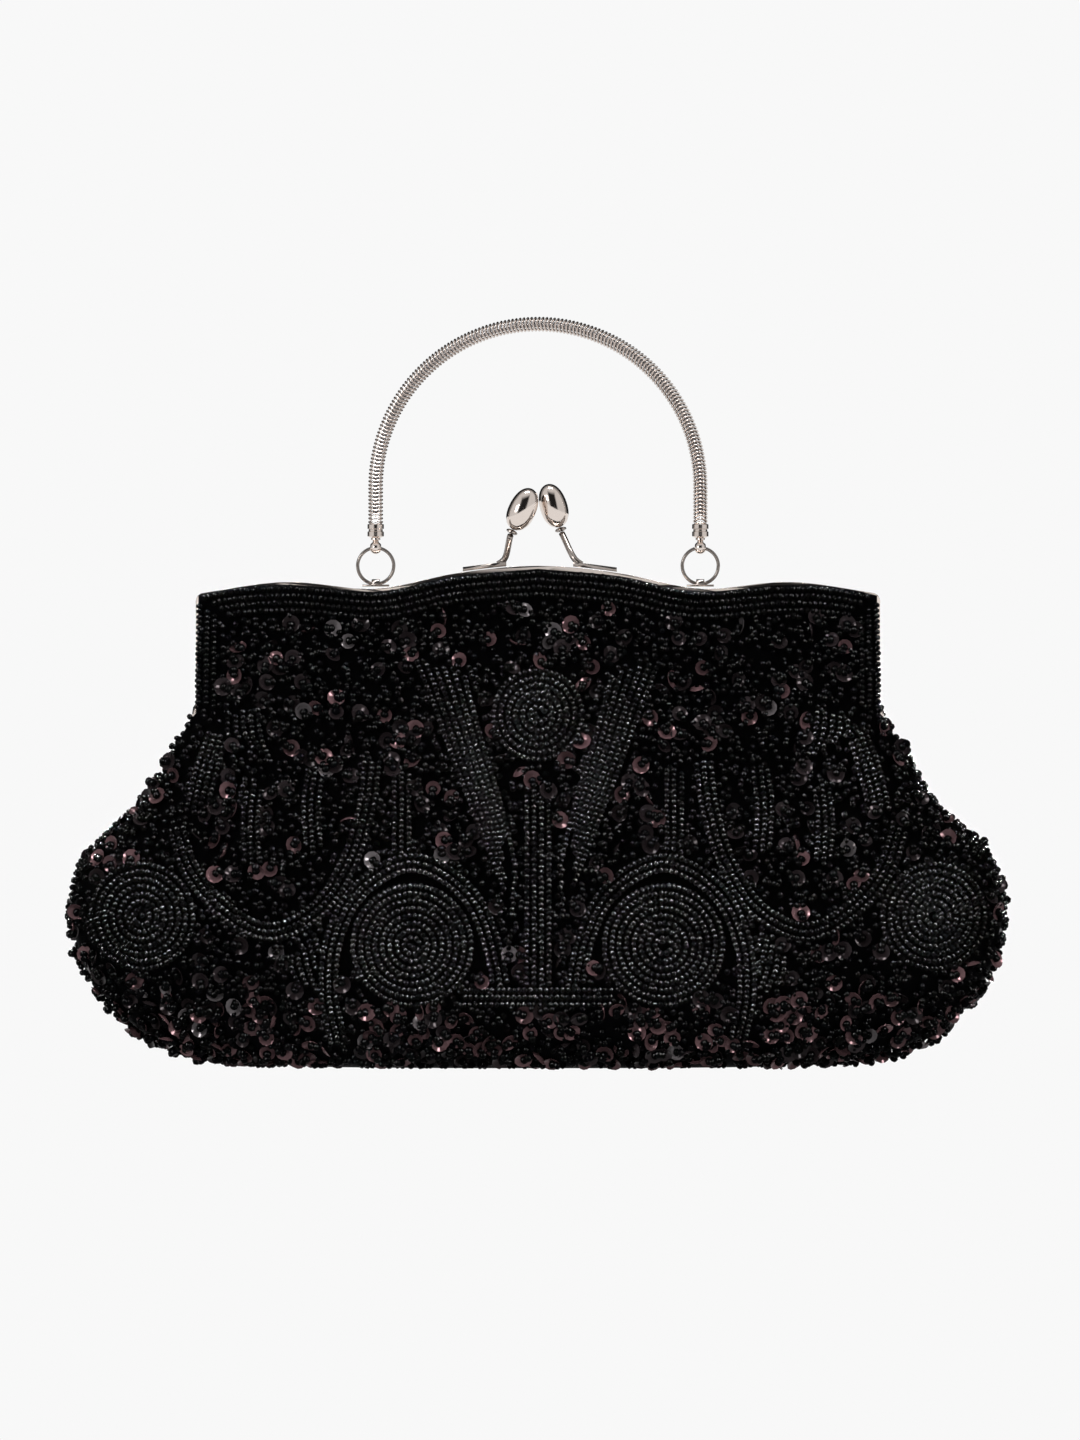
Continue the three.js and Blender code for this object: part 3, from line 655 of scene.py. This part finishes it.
def strung(line, side, pitch, lift, shift=0.0):
    """Bead places and thread directions along an (x, z) line laid on a wall, pitch apart."""
    fine = []
    for a, b in zip(line[:-1], line[1:]):
        fine.append(a + (b - a) * np.linspace(0, 1, 8)[:-1, None])
    fine = np.concatenate(fine + [line[-1:]])
    place, normal = wall_points(fine[:, 0], fine[:, 1], side, lift)
    along = np.concatenate([[0], np.cumsum(np.linalg.norm(np.diff(place, axis=0), axis=1))])
    stops = np.arange(pitch * (0.5 + shift), along[-1], pitch)
    at = np.stack([np.interp(stops, along, place[:, k]) for k in range(3)], -1)
    out = unit(np.stack([np.interp(stops, along, normal[:, k]) for k in range(3)], -1))
    ahead = np.stack([np.interp(stops + 0.4, along, place[:, k]) for k in range(3)], -1)
    behind = np.stack([np.interp(stops - 0.4, along, place[:, k]) for k in range(3)], -1)
    return at, unit(ahead - behind), out


def beside(line, offset):
    """line moved sideways by offset."""
    ahead = np.gradient(line, axis=0)
    ahead /= np.linalg.norm(ahead, axis=1, keepdims=True)
    return line + np.stack([-ahead[:, 1], ahead[:, 0]], -1) * offset


def circle(x, z, radius):
    turn = np.linspace(0, 2 * math.pi, 49)
    return np.stack([x + radius * np.cos(turn), z + radius * np.sin(turn)], -1)


def mirrored(lines):
    return lines + [line * np.array([-1, 1]) for line in lines]


def rows_between(first, last, count):
    first, last = spline(first), spline(last)
    return [first + (last - first) * k / (count - 1) for k in range(count)]


ROW = 2.15  # from one row of beads to the next

# Middle of each medallion, across and up, and its radius.
CENTRE_MEDALLION = (0, 105, 13.6)
INNER_MEDALLION = (37, 37.5, 17.4)
OUTER_MEDALLION = (117, 45.5, 16.5)
HORSESHOE_RADIUS = 21.8  # inside of the horseshoe over each inner medallion


def edging_lines():
    """Rows that follow the frame's waved top, and down its legs."""
    lines = []
    for k in range(4):
        drop = 2.1 + k * ROW
        x = np.linspace(-101.4 + drop, 101.4 - drop, 90)
        lines.append(np.stack([x, frame_top(x) - drop], -1))
    for k in range(3):
        x = 100.4 - k * ROW
        leg = np.array([[x, frame_top(x) - 3.4 - k * ROW], [x, 125], [x, 107]])
        lines += mirrored([leg])
    return lines


def medallion_lines():
    """Rings of beads round the five medallions."""
    first = 2.4
    lines = []
    medallions = [(CENTRE_MEDALLION, 1)]
    medallions += [(each, hand) for each in (INNER_MEDALLION, OUTER_MEDALLION) for hand in (1, -1)]
    for (x, z, radius), hand in medallions:
        for k in range(int((radius - 2.2) / ROW) + 1):
            lines.append(circle(hand * x, z, first + k * ROW))
    return lines


def scroll_lines():
    """Stem, tulip, horseshoes, swags, bars and leaves."""
    lines = []
    for x in (-3.3, -1.1, 1.1, 3.3):
        lines.append(np.array([[x, 25.5], [x, 55], [x, 86 - abs(x) * 1.5]]))
    for z in (20.2, 22.35, 24.5):
        lines.append(np.array([[-22, z], [0, z], [22, z]]))
    half = []
    inner = [(22, 117), (18.5, 104), (15, 92), (11, 79), (6.4, 60)]
    outer = [(36, 121), (30, 106), (25, 92), (18, 74), (6.8, 46)]
    half += rows_between(inner, outer, 6)
    arch = spline([(13, 24.5), (15.5, 37), (22, 51), (37, 59.5), (52, 51), (58.5, 37), (59.5, 24), (57, 10)])
    half += [arch, beside(arch, ROW), beside(arch, 2 * ROW)]
    swag = spline([(105, 72), (101, 61), (93, 51), (79, 43.5), (67, 49), (58, 62), (53, 77), (51, 92)])
    half += [swag, beside(swag, ROW), beside(swag, 2 * ROW)]
    for x, low, high in ((38, 65, 88), (40.2, 63.5, 90), (42.4, 66, 87)):
        half.append(np.array([[x, low], [x, high]]))
    bars = [(64, 66, 88), (66.2, 64, 90), (68.4, 66, 89)]
    bars += [(82, 62, 84), (84.2, 60, 86), (86.4, 63, 83)]
    for x, low, high in bars:
        half.append(spline([(x, low), (x + 0.8, (low + high) / 2), (x - 0.4, high)], 12))
    for k in range(5):
        half.append(spline([(60 + k * 2.6, 22 + k), (63 + k * 2.4, 31), (66 + k * 1.6, 41 - k * 1.5)], 12))
    for k in range(5):
        half.append(spline([(79 + k * 2.5, 91 + k * 2), (82 + k * 2.3, 99), (83 + k * 2.2, 108 - k)], 12))
    for k in range(4):
        half.append(spline([(104 - k * 2.2, 76 + k), (101.5 - k * 2.1, 88), (97 - k * 1.5, 101 - k)], 14))
    for k in range(3):
        half.append(spline([(14 + k * 2.2, 93 - k * 5), (12 + k * 2.2, 88 - k * 6)], 6))
    return lines + mirrored(half)


class Crowd:
    """Places already taken on a wall, so that no bead is laid through another."""

    def __init__(self, cell):
        self.cell = cell
        self.taken = {}

    def key(self, p):
        return tuple(int(math.floor(c / self.cell)) for c in p)

    def free(self, p, radius):
        kx, ky, kz = self.key(p)
        for i in (-1, 0, 1):
            for j in (-1, 0, 1):
                for k in (-1, 0, 1):
                    for q, r in self.taken.get((kx + i, ky + j, kz + k), ()):
                        gap = (p[0] - q[0]) ** 2 + (p[1] - q[1]) ** 2 + (p[2] - q[2]) ** 2
                        if gap < (radius + r) ** 2:
                            return False
        return True

    def add(self, p, radius):
        self.taken.setdefault(self.key(p), []).append((p, radius))


def frames_from(along, out):
    """Turning matrices with X along the thread and Z off the cloth."""
    along = unit(along - out * np.sum(along * out, -1, keepdims=True))
    return np.stack([along, np.cross(out, along), out], -1)


def lay_rows(lines, side, crowd, rng):
    """Places and turns of the beads strung on lines, skipping those already taken."""
    pitch = bpy.context.scene.bag_sizes.bead_length / MM * 1.06
    lift = bpy.context.scene.bag_sizes.bead_width / MM / 2
    places, turns = [], []
    for line in lines:
        at, along, out = strung(line, side, pitch, lift, rng.uniform(-0.3, 0.3))
        turn = frames_from(along + rng.normal(0, 0.05, along.shape), out)
        for p, m in zip(at, turn):
            if crowd.free(p, 0.66):
                places.append(p + rng.normal(0, 0.06, 3))
                turns.append(m)
        for p in at:
            crowd.add(tuple(p), 0.62)
    return np.array(places), np.array(turns)


def scattered(side, count, rng):
    """Random places over a wall, even by area, with their normals."""
    z = rng.uniform(1.2, 146, count * 3)
    turn = rng.uniform(-math.pi / 2, math.pi / 2, count * 3)
    x = half_width(z) * np.sin(turn)
    below = z < frame_top(x) - 10
    x, z = x[below], z[below]
    place, normal = wall_points(x, z, side, 0)
    across = np.abs(np.cos(turn[below])) * half_width(z)
    weight = across / np.maximum(np.abs(normal[:, 1]), 0.08)
    keep = rng.uniform(0, 1, len(x)) < weight / np.quantile(weight, 0.985)
    return place[keep], normal[keep]


def on_bare_cloth(place):
    """Whether places lie in the gap between an inner medallion and its horseshoe."""
    x, z, radius = INNER_MEDALLION
    away = np.hypot(np.abs(place[:, 0]) - x, place[:, 2] - z)
    return (away > radius + 0.4) & (away < HORSESHOE_RADIUS) & (place[:, 2] > z - 7.5)


def random_along(out, rng):
    """Directions along the cloth, any way round."""
    return unit(np.cross(out, unit(rng.normal(0, 1, out.shape))))


def bead_tints(count, rng):
    """Jet black, each bead a little lighter, browner or bluer than the next."""
    base = np.array(bpy.context.scene.bag_colours.bead)
    glow = rng.uniform(0.5, 2.2, (count, 1))
    return base * glow * rng.uniform(0.85, 1.15, (count, 3))


def sequin_tints(heights, rng):
    """From near black through plum and brown to grey, with more plum near the base."""
    colours = bpy.context.scene.bag_colours
    dark = np.array(colours.sequin_dark)
    plum = np.array(colours.sequin_plum)
    grey = np.array(colours.sequin_grey)
    share = rng.uniform(0, 1, (len(heights), 1))
    kind = rng.uniform(0, 1, (len(heights), 1))
    darkest = np.where(heights < 24, 0.3, 0.6)[:, None]
    tone = np.where(kind < darkest, dark, np.where(kind < 0.93, plum, grey))
    return tone * (0.5 + share)


def bead_piece(name, side_name, places, turns, bead, rng, nodes=(), size=1.0, finish="jet_bead"):
    """One piece of beads, no two of quite the same size."""
    sizes = rng.uniform(0.93, 1.06, len(places)) * size
    piece = copies(name, bead, places, turns, bead_tints(len(places), rng), sizes)
    dressed(piece, finish, nodes=nodes)
    glinting("beads").objects.link(piece)
    return folded(piece)


class BAG_OT_beadwork(bpy.types.Operator):
    """Lays the bead rows, the sequins and the loose beads over both walls"""

    bl_idname = "bag.beadwork"
    bl_label = "Beads and Sequins"

    def execute(self, context):
        sizes = context.scene.bag_sizes
        bead, sequin = bead_template(), sequin_template()
        lift = sizes.bead_width / MM / 2
        for name, side in SIDES.items():
            rng = np.random.default_rng(11 if side == FRONT else 12)
            crowd = Crowd(4.2)
            edging = lay_rows(edging_lines(), side, crowd, rng)
            rings = lay_rows(medallion_lines(), side, crowd, rng)
            scrolls = lay_rows(scroll_lines(), side, crowd, rng)
            medallions = [f"medallion_{name}_{n}_{h}" for n in ("outer", "inner") for h in HANDS]
            edge = [f"edge_beads_{name}"]
            bead_piece(f"beads_{name}_edging", name, *edging, bead, rng, edge, finish="loose_bead")
            bead_piece(f"beads_{name}_medallions", name, *rings, bead, rng, medallions)
            bead_piece(f"beads_{name}_scrolls", name, *scrolls, bead, rng)
            self.sequins(name, side, crowd, rng, sequin, bead, sizes.sequin_count)
            self.filler(name, side, crowd, rng, bead, lift, sizes.filler_count)
        return {"FINISHED"}

    def sequins(self, name, side, crowd, rng, sequin, bead, wanted):
        """Sequins at random places, closest together near the base, each held by two beads."""
        place, out = scattered(side, wanted * 14, rng)
        low = place[:, 2] < 24
        keep = (low | (rng.uniform(0, 1, len(place)) < 0.34)) & ~on_bare_cloth(place)
        places, outs = [], []
        for p, n in zip(place[keep], out[keep]):
            if crowd.free(p + n, 1.15):
                crowd.add(tuple(p + n), 1.5)
                places.append(p)
                outs.append(n)
            if len(places) >= wanted:
                break
        places, outs = np.array(places), np.array(outs)
        lean = np.where(rng.uniform(0, 1, (len(outs), 1)) < 0.2, 0.75, 0.3)
        facing = unit(outs + rng.normal(0, 1, outs.shape) * lean)
        turns = frames_from(random_along(facing, rng), facing)
        at = places + outs * rng.uniform(0.7, 1.4, (len(places), 1))
        at[:, 2] = np.maximum(at[:, 2], 2.2)
        grown = rng.uniform(0.86, 1.08, len(places))
        piece = copies(f"sequins_{name}", sequin, at, turns, sequin_tints(at[:, 2], rng), grown)
        folded(dressed(piece, "sequin_film"))
        glinting("sequins").objects.link(piece)
        # Two beads hold each sequin: one over its hole, and one beside it on the way out.
        held = [at + facing * lift + turns[:, :, 0] * aside for lift, aside in ((0.95, 0.25), (1.15, 1.8))]
        held = np.concatenate(held)
        held[:, 2] = np.maximum(held[:, 2], 1.1)
        turns = np.concatenate([turns, turns])
        bead_piece(f"beads_{name}_on_sequins", name, held, turns, bead, rng, size=1.2, finish="loose_bead")

    def filler(self, name, side, crowd, rng, bead, lift, wanted):
        """Loose beads in what room is left."""
        place, out = scattered(side, wanted * 4, rng)
        place, out = place[~on_bare_cloth(place)], out[~on_bare_cloth(place)]
        places, outs = [], []
        for p, n in zip(place, out):
            raised = p + n * lift
            if crowd.free(raised, 0.5):
                crowd.add(tuple(raised), 0.62)
                places.append(raised)
                outs.append(n)
            if len(places) >= wanted:
                break
        places, outs = np.array(places), np.array(outs)
        leaning = unit(outs + rng.normal(0, 0.5, outs.shape))
        turns = frames_from(random_along(leaning, rng), leaning)
        places = places + outs * rng.uniform(-0.1, 0.5, (len(places), 1))
        places[:, 2] = np.maximum(places[:, 2], 1.1)
        share = np.arange(len(places)) % 2
        for k, part in enumerate(("a", "b")):
            at, turn = places[share == k], turns[share == k]
            bead_piece(f"beads_{name}_loose_{part}", name, at, turn, bead, rng, finish="loose_bead")


# ---- Metal ----


def carried_over(node, name, bevel):
    """A copy of a CAD node, merged, with softened edges."""
    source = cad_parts[node]
    piece = bpy.data.objects.new(name, source.data.copy())
    bpy.context.scene.collection.objects.link(piece)
    edit(piece)
    bpy.ops.mesh.remove_doubles(threshold=2e-6)
    bpy.ops.mesh.dissolve_limited(angle_limit=math.radians(1))
    bpy.ops.object.mode_set(mode="OBJECT")
    if bevel:
        modify(
            piece,
            "BEVEL",
            width=bevel * MM,
            segments=2,
            limit_method="ANGLE",
            angle_limit=math.radians(50),
            harden_normals=True,
        )
    return smooth(piece, 40)


class BAG_OT_frame(bpy.types.Operator):
    """Makes the two frame halves and the rivets they turn on"""

    bl_idname = "bag.frame"
    bl_label = "Frame"

    def execute(self, context):
        for name in SIDES:
            piece = carried_over(f"frame_{name}", f"frame_metal_{name}", 0.15)
            dressed(piece, "pale_nickel", f"frame_half_{name}", [f"frame_{name}"])
        for name in HANDS:
            piece = carried_over(f"hinge_rivet_{name}", f"rivet_{name}", 0.1)
            dressed(piece, "pale_nickel", "pouch", [f"hinge_rivet_{name}"])
        return {"FINISHED"}


KNOB = (4.1, 3.8, 6.7)  # half its width, depth and length, in mm


class BAG_OT_clasp(bpy.types.Operator):
    """Makes the two egg-shaped knobs, their collars and their arms"""

    bl_idname = "bag.clasp"
    bl_label = "Kiss Clasp"

    def execute(self, context):
        for name, at, lean in (("front", (4.6, 2.4, 167.4), -17), ("rear", (-4.6, -2.4, 166.3), 25)):
            body = f"frame_half_{name}"
            deselect()
            bpy.ops.mesh.primitive_uv_sphere_add(segments=40, ring_count=24, radius=1)
            knob = named(f"knob_{name}")

            def egg(co):
                co = co * MM
                narrow = (1 - 0.06 * co[:, 2]) * (1 + 0.12 * co[:, 2] ** 2)
                seam = 1 - 0.03 * np.exp(-((co[:, 2] + 0.72) / 0.07) ** 2)
                girth = narrow * seam
                return co * np.array(KNOB) * np.stack([girth, girth, np.ones(len(co))], -1)

            reshape(knob, egg)
            place = Matrix.Translation(Vector(at) * MM) @ Matrix.Rotation(math.radians(lean), 4, "Y")
            placed(knob, place)
            dressed(smooth(knob), "pale_nickel", body, [f"clasp_knob_{name}"])
            profile = [(0, -8.1), (1.2, -8.05), (1.75, -7.7), (1.75, -7.3), (1.2, -6.95), (0, -6.7)]
            collar = turned(f"collar_{name}", profile, 28)
            placed(smooth(collar, 50), place)
            dressed(collar, "arm_nickel_painted_shade", body, [f"clasp_collar_{name}"])
            arm = carried_over(f"clasp_arm_{name}", f"arm_{name}", 0.15)
            dressed(arm, "arm_nickel_painted_shade", body, [f"clasp_arm_{name}"])
        return {"FINISHED"}


# The handle, in mm: its arch stands on the rear frame half.
SPAN = 48.6
DEPTH = 3.0
LUG_HEIGHT = 144.0
RING_RADIUS = 5.4
ARCH_HEIGHT = 173.1
LEG = 11.6


class BAG_OT_rings(bpy.types.Operator):
    """Makes the lugs and the wire rings that the handle hangs on"""

    bl_idname = "bag.rings"
    bl_label = "Rings and Lugs"

    def execute(self, context):
        for name, hand in HANDS.items():
            deselect()
            bpy.ops.mesh.primitive_torus_add(
                location=(hand * SPAN * MM, DEPTH * MM, (LUG_HEIGHT + RING_RADIUS) * MM),
                rotation=(math.pi / 2, 0, 0),
                major_segments=64,
                minor_segments=14,
                major_radius=RING_RADIUS * MM,
                minor_radius=0.5 * MM,
            )
            ring = named(f"ring_wire_{name}")
            bpy.ops.object.transform_apply(location=True, rotation=True, scale=True)
            dressed(smooth(ring), "ring_nickel_painted_shade", "handle_rings", [f"handle_ring_{name}"])
            lug = carried_over(f"handle_lug_{name}", f"lug_{name}", 0.1)
            dressed(lug, "arm_nickel_painted_shade", "frame_half_rear", [f"handle_lug_{name}"])
        return {"FINISHED"}


def arch_point(along):
    """Where the handle's centre line is, and which way it runs, along mm from its left end."""
    arc = math.pi * SPAN
    if along < LEG:
        return Vector((-SPAN, DEPTH, ARCH_HEIGHT - LEG + along)), Vector((0, 0, 1))
    if along > LEG + arc:
        return Vector((SPAN, DEPTH, ARCH_HEIGHT - (along - LEG - arc))), Vector((0, 0, -1))
    turn = (along - LEG) / SPAN
    place = Vector((-SPAN * math.cos(turn), DEPTH, ARCH_HEIGHT + SPAN * math.sin(turn)))
    return place, Vector((math.sin(turn), 0, math.cos(turn)))


class BAG_OT_handle(bpy.types.Operator):
    """Makes the snake chain link by link, its ferrules and their eyes"""

    bl_idname = "bag.handle"
    bl_label = "Snake-chain Handle"

    def execute(self, context):
        self.chain(context)
        top = LUG_HEIGHT + 2 * RING_RADIUS
        for name, hand in HANDS.items():
            low = top + 2.2
            end = ARCH_HEIGHT - LEG + 0.4
            profile = [(0, low + 0.4), (1.1, low), (1.4, low + 0.25), (1.35, low + 0.7), (2.0, low + 1.0)]
            profile += [(2.45, low + 1.25), (2.45, end - 2.3), (2.1, end - 2.15), (2.1, end - 1.55)]
            profile += [(2.45, end - 1.4), (2.45, end - 0.15), (2.3, end), (0, end)]
            ferrule = turned(f"ferrule_{name}", profile, 32)
            placed(ferrule, Matrix.Translation(Vector((hand * SPAN, DEPTH, 0)) * MM))
            dressed(smooth(ferrule, 40), "pale_nickel", "handle", [f"handle_ferrule_{name}"])
            eye = carried_over(f"handle_eye_{name}", f"eye_{name}", 0)
            dressed(eye, "pale_nickel", "handle", [f"handle_eye_{name}"])
        return {"FINISHED"}

    def chain(self, context):
        """Flat wavy links, each nested in the next."""
        pitch = context.scene.bag_sizes.link_pitch / MM
        deselect()
        bpy.ops.mesh.primitive_torus_add(
            major_segments=24, minor_segments=8, major_radius=1.72 * MM, minor_radius=0.53 * MM
        )
        link = named("link_master")

        def wavy(co):
            turn = np.arctan2(co[:, 1], co[:, 0])
            wave = 1.0 * np.abs(((turn / math.pi * 2) % 2) - 1)
            co[:, 2] = co[:, 2] * 0.62 + wave - 0.5
            return co

        reshape(link, wavy)
        template = as_template(link)
        length = 2 * LEG + math.pi * SPAN
        count = int(length / pitch)
        places, turns = [], []
        for k in range(count):
            place, ahead = arch_point(length * (k + 0.5) / count)
            side = Vector((0, 1, 0))
            places.append(place)
            turns.append(np.array([side.cross(ahead), side, ahead]).T)
        rng = np.random.default_rng(5)
        tints = np.array(context.scene.bag_colours.chain) * rng.uniform(0.92, 1.05, (count, 1))
        piece = copies("snake_chain", template, np.array(places), np.array(turns), tints)
        dressed(piece, "chain_nickel", "handle", ["handle_chain"])


class BAG_OT_hidden_parts(bpy.types.Operator):
    """Finishes the parts that lie inside: the base board and the handle's core"""

    bl_idname = "bag.hidden_parts"
    bl_label = "Board and Core"

    def execute(self, context):
        for node, finish in (("base_board", "board_card"), ("handle_core", "drawn_steel")):
            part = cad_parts[node]
            part.data.materials.clear()
            part.data.materials.append(finish_of(finish))
        return {"FINISHED"}


# ---- Camera, light and floor ----


class BAG_OT_camera(bpy.types.Operator):
    """Sets the camera in front of the bag, almost level with its frame"""

    bl_idname = "bag.camera"
    bl_label = "Camera"

    def execute(self, context):
        sizes = context.scene.bag_sizes
        lens = bpy.data.cameras.new("camera")
        lens.lens = 150
        lens.sensor_width = 36
        lens.clip_end = 20
        camera = bpy.data.objects.new("camera", lens)
        context.scene.collection.objects.link(camera)
        aim = Vector((0.0006, 0, 0.1033))
        reach = 1.7949
        lift = sizes.camera_elevation
        camera.location = aim + Vector((0, -reach * math.cos(lift), reach * math.sin(lift)))
        camera.rotation_euler = (math.pi / 2 - lift, 0, 0)
        context.scene.camera = camera
        return {"FINISHED"}


def glinting(kind):
    """The collection of the beads, or of the sequins, that lights of their own glint on."""
    if kind not in bpy.data.collections:
        bpy.data.collections.new(kind)
    return bpy.data.collections[kind]


def softbox(name, place, aim, size, watts):
    """A rectangular light at place, turned towards aim."""
    light = bpy.data.lights.new(name, "AREA")
    light.shape = "RECTANGLE"
    light.size, light.size_y = size
    light.energy = watts
    lamp = bpy.data.objects.new(name, light)
    bpy.context.scene.collection.objects.link(lamp)
    lamp.location = place
    lamp.rotation_euler = (Vector(aim) - Vector(place)).to_track_quat("-Z", "Y").to_euler()
    return lamp


class BAG_OT_stage(bpy.types.Operator):
    """Lays the pale floor and sets the studio lights"""

    bl_idname = "bag.stage"
    bl_label = "Stage"

    def execute(self, context):
        pale = tuple(context.scene.bag_colours.backdrop)
        context.scene.view_settings.view_transform = "Standard"
        self.floor(pale)
        self.surroundings(context, pale)
        middle = (0, 0, 0.08)
        softbox("top_light", (0, -0.2, 1.2), middle, (0.5, 0.2), 5.5)
        softbox("fill_light", (-0.7, -0.8, 0.5), middle, (0.3, 0.3), 2)
        sparks = {
            "left": ((-0.75, -0.85, 0.75), 460),
            "right": ((0.75, -0.8, 0.6), 310),
            "high": ((0.15, -0.75, 1.05), 250),
            "low_left": ((-0.95, -0.75, 0.16), 125),
            "low_right": ((0.95, -0.7, 0.24), 140),
            "rear_left": ((-0.7, 0.9, 0.6), 125),
            "rear_right": ((0.6, 1.0, 0.5), 125),
        }
        for name, (place, watts) in sparks.items():
            spark = softbox(f"spark_{name}", place, middle, (0.08, 0.08), watts)
            spark.visible_diffuse = False
            spark.light_linking.receiver_collection = glinting("beads")
        flashes = {
            "left": ((-0.8, -0.7, 0.8), 14),
            "right": ((0.7, -0.8, 0.7), 12),
            "above": ((0.1, -0.5, 1.1), 12),
            "low": ((0.3, -1.1, 0.2), 11),
            "behind": ((0.5, 1.0, 0.6), 12),
        }
        for name, (place, watts) in flashes.items():
            flash = softbox(f"flash_{name}", place, middle, (0.3, 0.3), watts)
            flash.light_linking.receiver_collection = glinting("sequins")
        return {"FINISHED"}

    def floor(self, pale):
        deselect()
        bpy.ops.mesh.primitive_circle_add(vertices=64, radius=9, fill_type="NGON", location=(0, 0, -0.0012))
        floor = named("floor")
        finish, *_, shader = material("pale_floor")
        shader.inputs["Base Color"].default_value = (0, 0, 0, 1)
        shader.inputs["Specular IOR Level"].default_value = 0
        shader.inputs["Emission Color"].default_value = (*pale, 1)
        shader.inputs["Emission Strength"].default_value = 1
        floor.data.materials.append(finish)

    def surroundings(self, context, pale):
        """A pale backdrop to the eye, and to what reflects it a light room, dark behind and in front."""
        world = bpy.data.worlds.new("studio")
        world.use_nodes = True
        context.scene.world = world
        nodes, links = world.node_tree.nodes, world.node_tree.links
        seen = nodes["Background"]
        seen.inputs["Color"].default_value = (*pale, 1)
        room = nodes.new("ShaderNodeBackground")
        place = nodes.new("ShaderNodeTexCoord")
        apart = nodes.new("ShaderNodeSeparateXYZ")
        links.new(place.outputs["Generated"], apart.inputs["Vector"])
        x, y, z = (apart.outputs[k] for k in "XYZ")
        left = ramp(nodes, links, x, 1, 0, -0.5, -0.35)
        right = ramp(nodes, links, x, 0, 1, 0.35, 0.5)
        below = ramp(nodes, links, z, 1, 0, -0.3, -0.2)
        above = ramp(nodes, links, z, 0, 1, 0.6, 0.8)
        framed = larger(nodes, links, larger(nodes, links, left, right), larger(nodes, links, below, above))
        lit = larger(nodes, links, framed, ramp(nodes, links, y, 0, 1, -0.2, 0))
        share = nodes.new("ShaderNodeMath")
        share.operation = "MULTIPLY"
        links.new(lit, share.inputs[0])
        links.new(ramp(nodes, links, y, 1, 0, -0.05, 0.45), share.inputs[1])
        links.new(ramp(nodes, links, share.outputs["Value"], 0.02, 0.9, 0, 1), room.inputs["Strength"])
        path = nodes.new("ShaderNodeLightPath")
        mix = nodes.new("ShaderNodeMixShader")
        links.new(path.outputs["Is Camera Ray"], mix.inputs["Fac"])
        links.new(room.outputs["Background"], mix.inputs[1])
        links.new(seen.outputs["Background"], mix.inputs[2])
        links.new(mix.outputs["Shader"], nodes["World Output"].inputs["Surface"])


# ---- Settings and panel ----


def colour(name, description, default):
    """A colour that can be set in the panel."""
    return bpy.props.FloatVectorProperty(
        name=name, description=description, default=default, subtype="COLOR", min=0, max=1
    )


def length(name, description, default):
    """A length that can be set in the panel."""
    return bpy.props.FloatProperty(name=name, description=description, default=default, min=0, unit="LENGTH")


class BAG_PG_sizes(bpy.types.PropertyGroup):
    bead_width: length("Bead Width", "Diameter of a seed bead", 0.0021)
    bead_length: length("Bead Length", "Length of a seed bead along its thread", 0.0015)
    sequin_width: length("Sequin Width", "Diameter of a sequin", 0.0052)
    link_pitch: length("Link Pitch", "From one link of the snake chain to the next", 0.0011)
    sequin_count: bpy.props.IntProperty(
        name="Sequins", description="Most sequins on one wall", default=540, min=0, max=1500
    )
    filler_count: bpy.props.IntProperty(
        name="Loose Beads", description="Most loose beads on one wall", default=3100, min=0, max=8000
    )
    camera_elevation: bpy.props.FloatProperty(
        name="Camera Elevation", description="Angle the camera looks down at", default=0.022, unit="ROTATION"
    )


class BAG_PG_colours(bpy.types.PropertyGroup):
    metal: colour("Metal", "Plating of the frame, clasp and rings", (0.82, 0.73, 0.67))
    chain: colour("Chain", "Plating of the snake chain", (0.76, 0.68, 0.63))
    satin: colour("Satin", "Outer satin under the beads", (0.0009, 0.0009, 0.0011))
    lining: colour("Lining", "Lining satin", (0.012, 0.011, 0.013))
    bead: colour("Bead", "Seed beads", (0.0009, 0.0009, 0.001))
    sequin_dark: colour("Dark Sequin", "The blackest sequins", (0.008, 0.006, 0.0065))
    sequin_plum: colour("Plum Sequin", "The plum-brown sequins", (0.05, 0.028, 0.03))
    sequin_grey: colour("Grey Sequin", "The greyest sequins", (0.06, 0.054, 0.056))
    backdrop: colour("Backdrop", "Floor and surroundings", (0.939, 0.939, 0.939))


STEPS = ("camera", "stage", "walls", "lining", "beadwork")
STEPS += ("frame", "clasp", "rings", "handle", "hidden_parts")


class BAG_PT_panel(bpy.types.Panel):
    """Lists the steps that make the bag"""

    bl_idname = "BAG_PT_panel"
    bl_label = "Evening Bag"
    bl_space_type = "VIEW_3D"
    bl_region_type = "UI"
    bl_category = "Bag"

    def draw(self, context):
        for group in (context.scene.bag_sizes, context.scene.bag_colours):
            for key in group.bl_rna.properties.keys():
                if key not in ("rna_type", "name"):
                    self.layout.prop(group, key)
        for step in STEPS:
            self.layout.operator(f"bag.{step}")


CLASSES = (
    BAG_PG_sizes,
    BAG_PG_colours,
    BAG_OT_camera,
    BAG_OT_stage,
    BAG_OT_walls,
    BAG_OT_lining,
    BAG_OT_beadwork,
    BAG_OT_frame,
    BAG_OT_clasp,
    BAG_OT_rings,
    BAG_OT_handle,
    BAG_OT_hidden_parts,
    BAG_PT_panel,
)


def register():
    for each in CLASSES:
        bpy.utils.register_class(each)
    bpy.types.Scene.bag_sizes = bpy.props.PointerProperty(type=BAG_PG_sizes)
    bpy.types.Scene.bag_colours = bpy.props.PointerProperty(type=BAG_PG_colours)


def unregister():
    del bpy.types.Scene.bag_colours
    del bpy.types.Scene.bag_sizes
    for each in reversed(CLASSES):
        bpy.utils.unregister_class(each)


def main():
    register()
    for step in STEPS:
        getattr(bpy.ops.bag, step)()


if __name__ == "__main__":
    main()
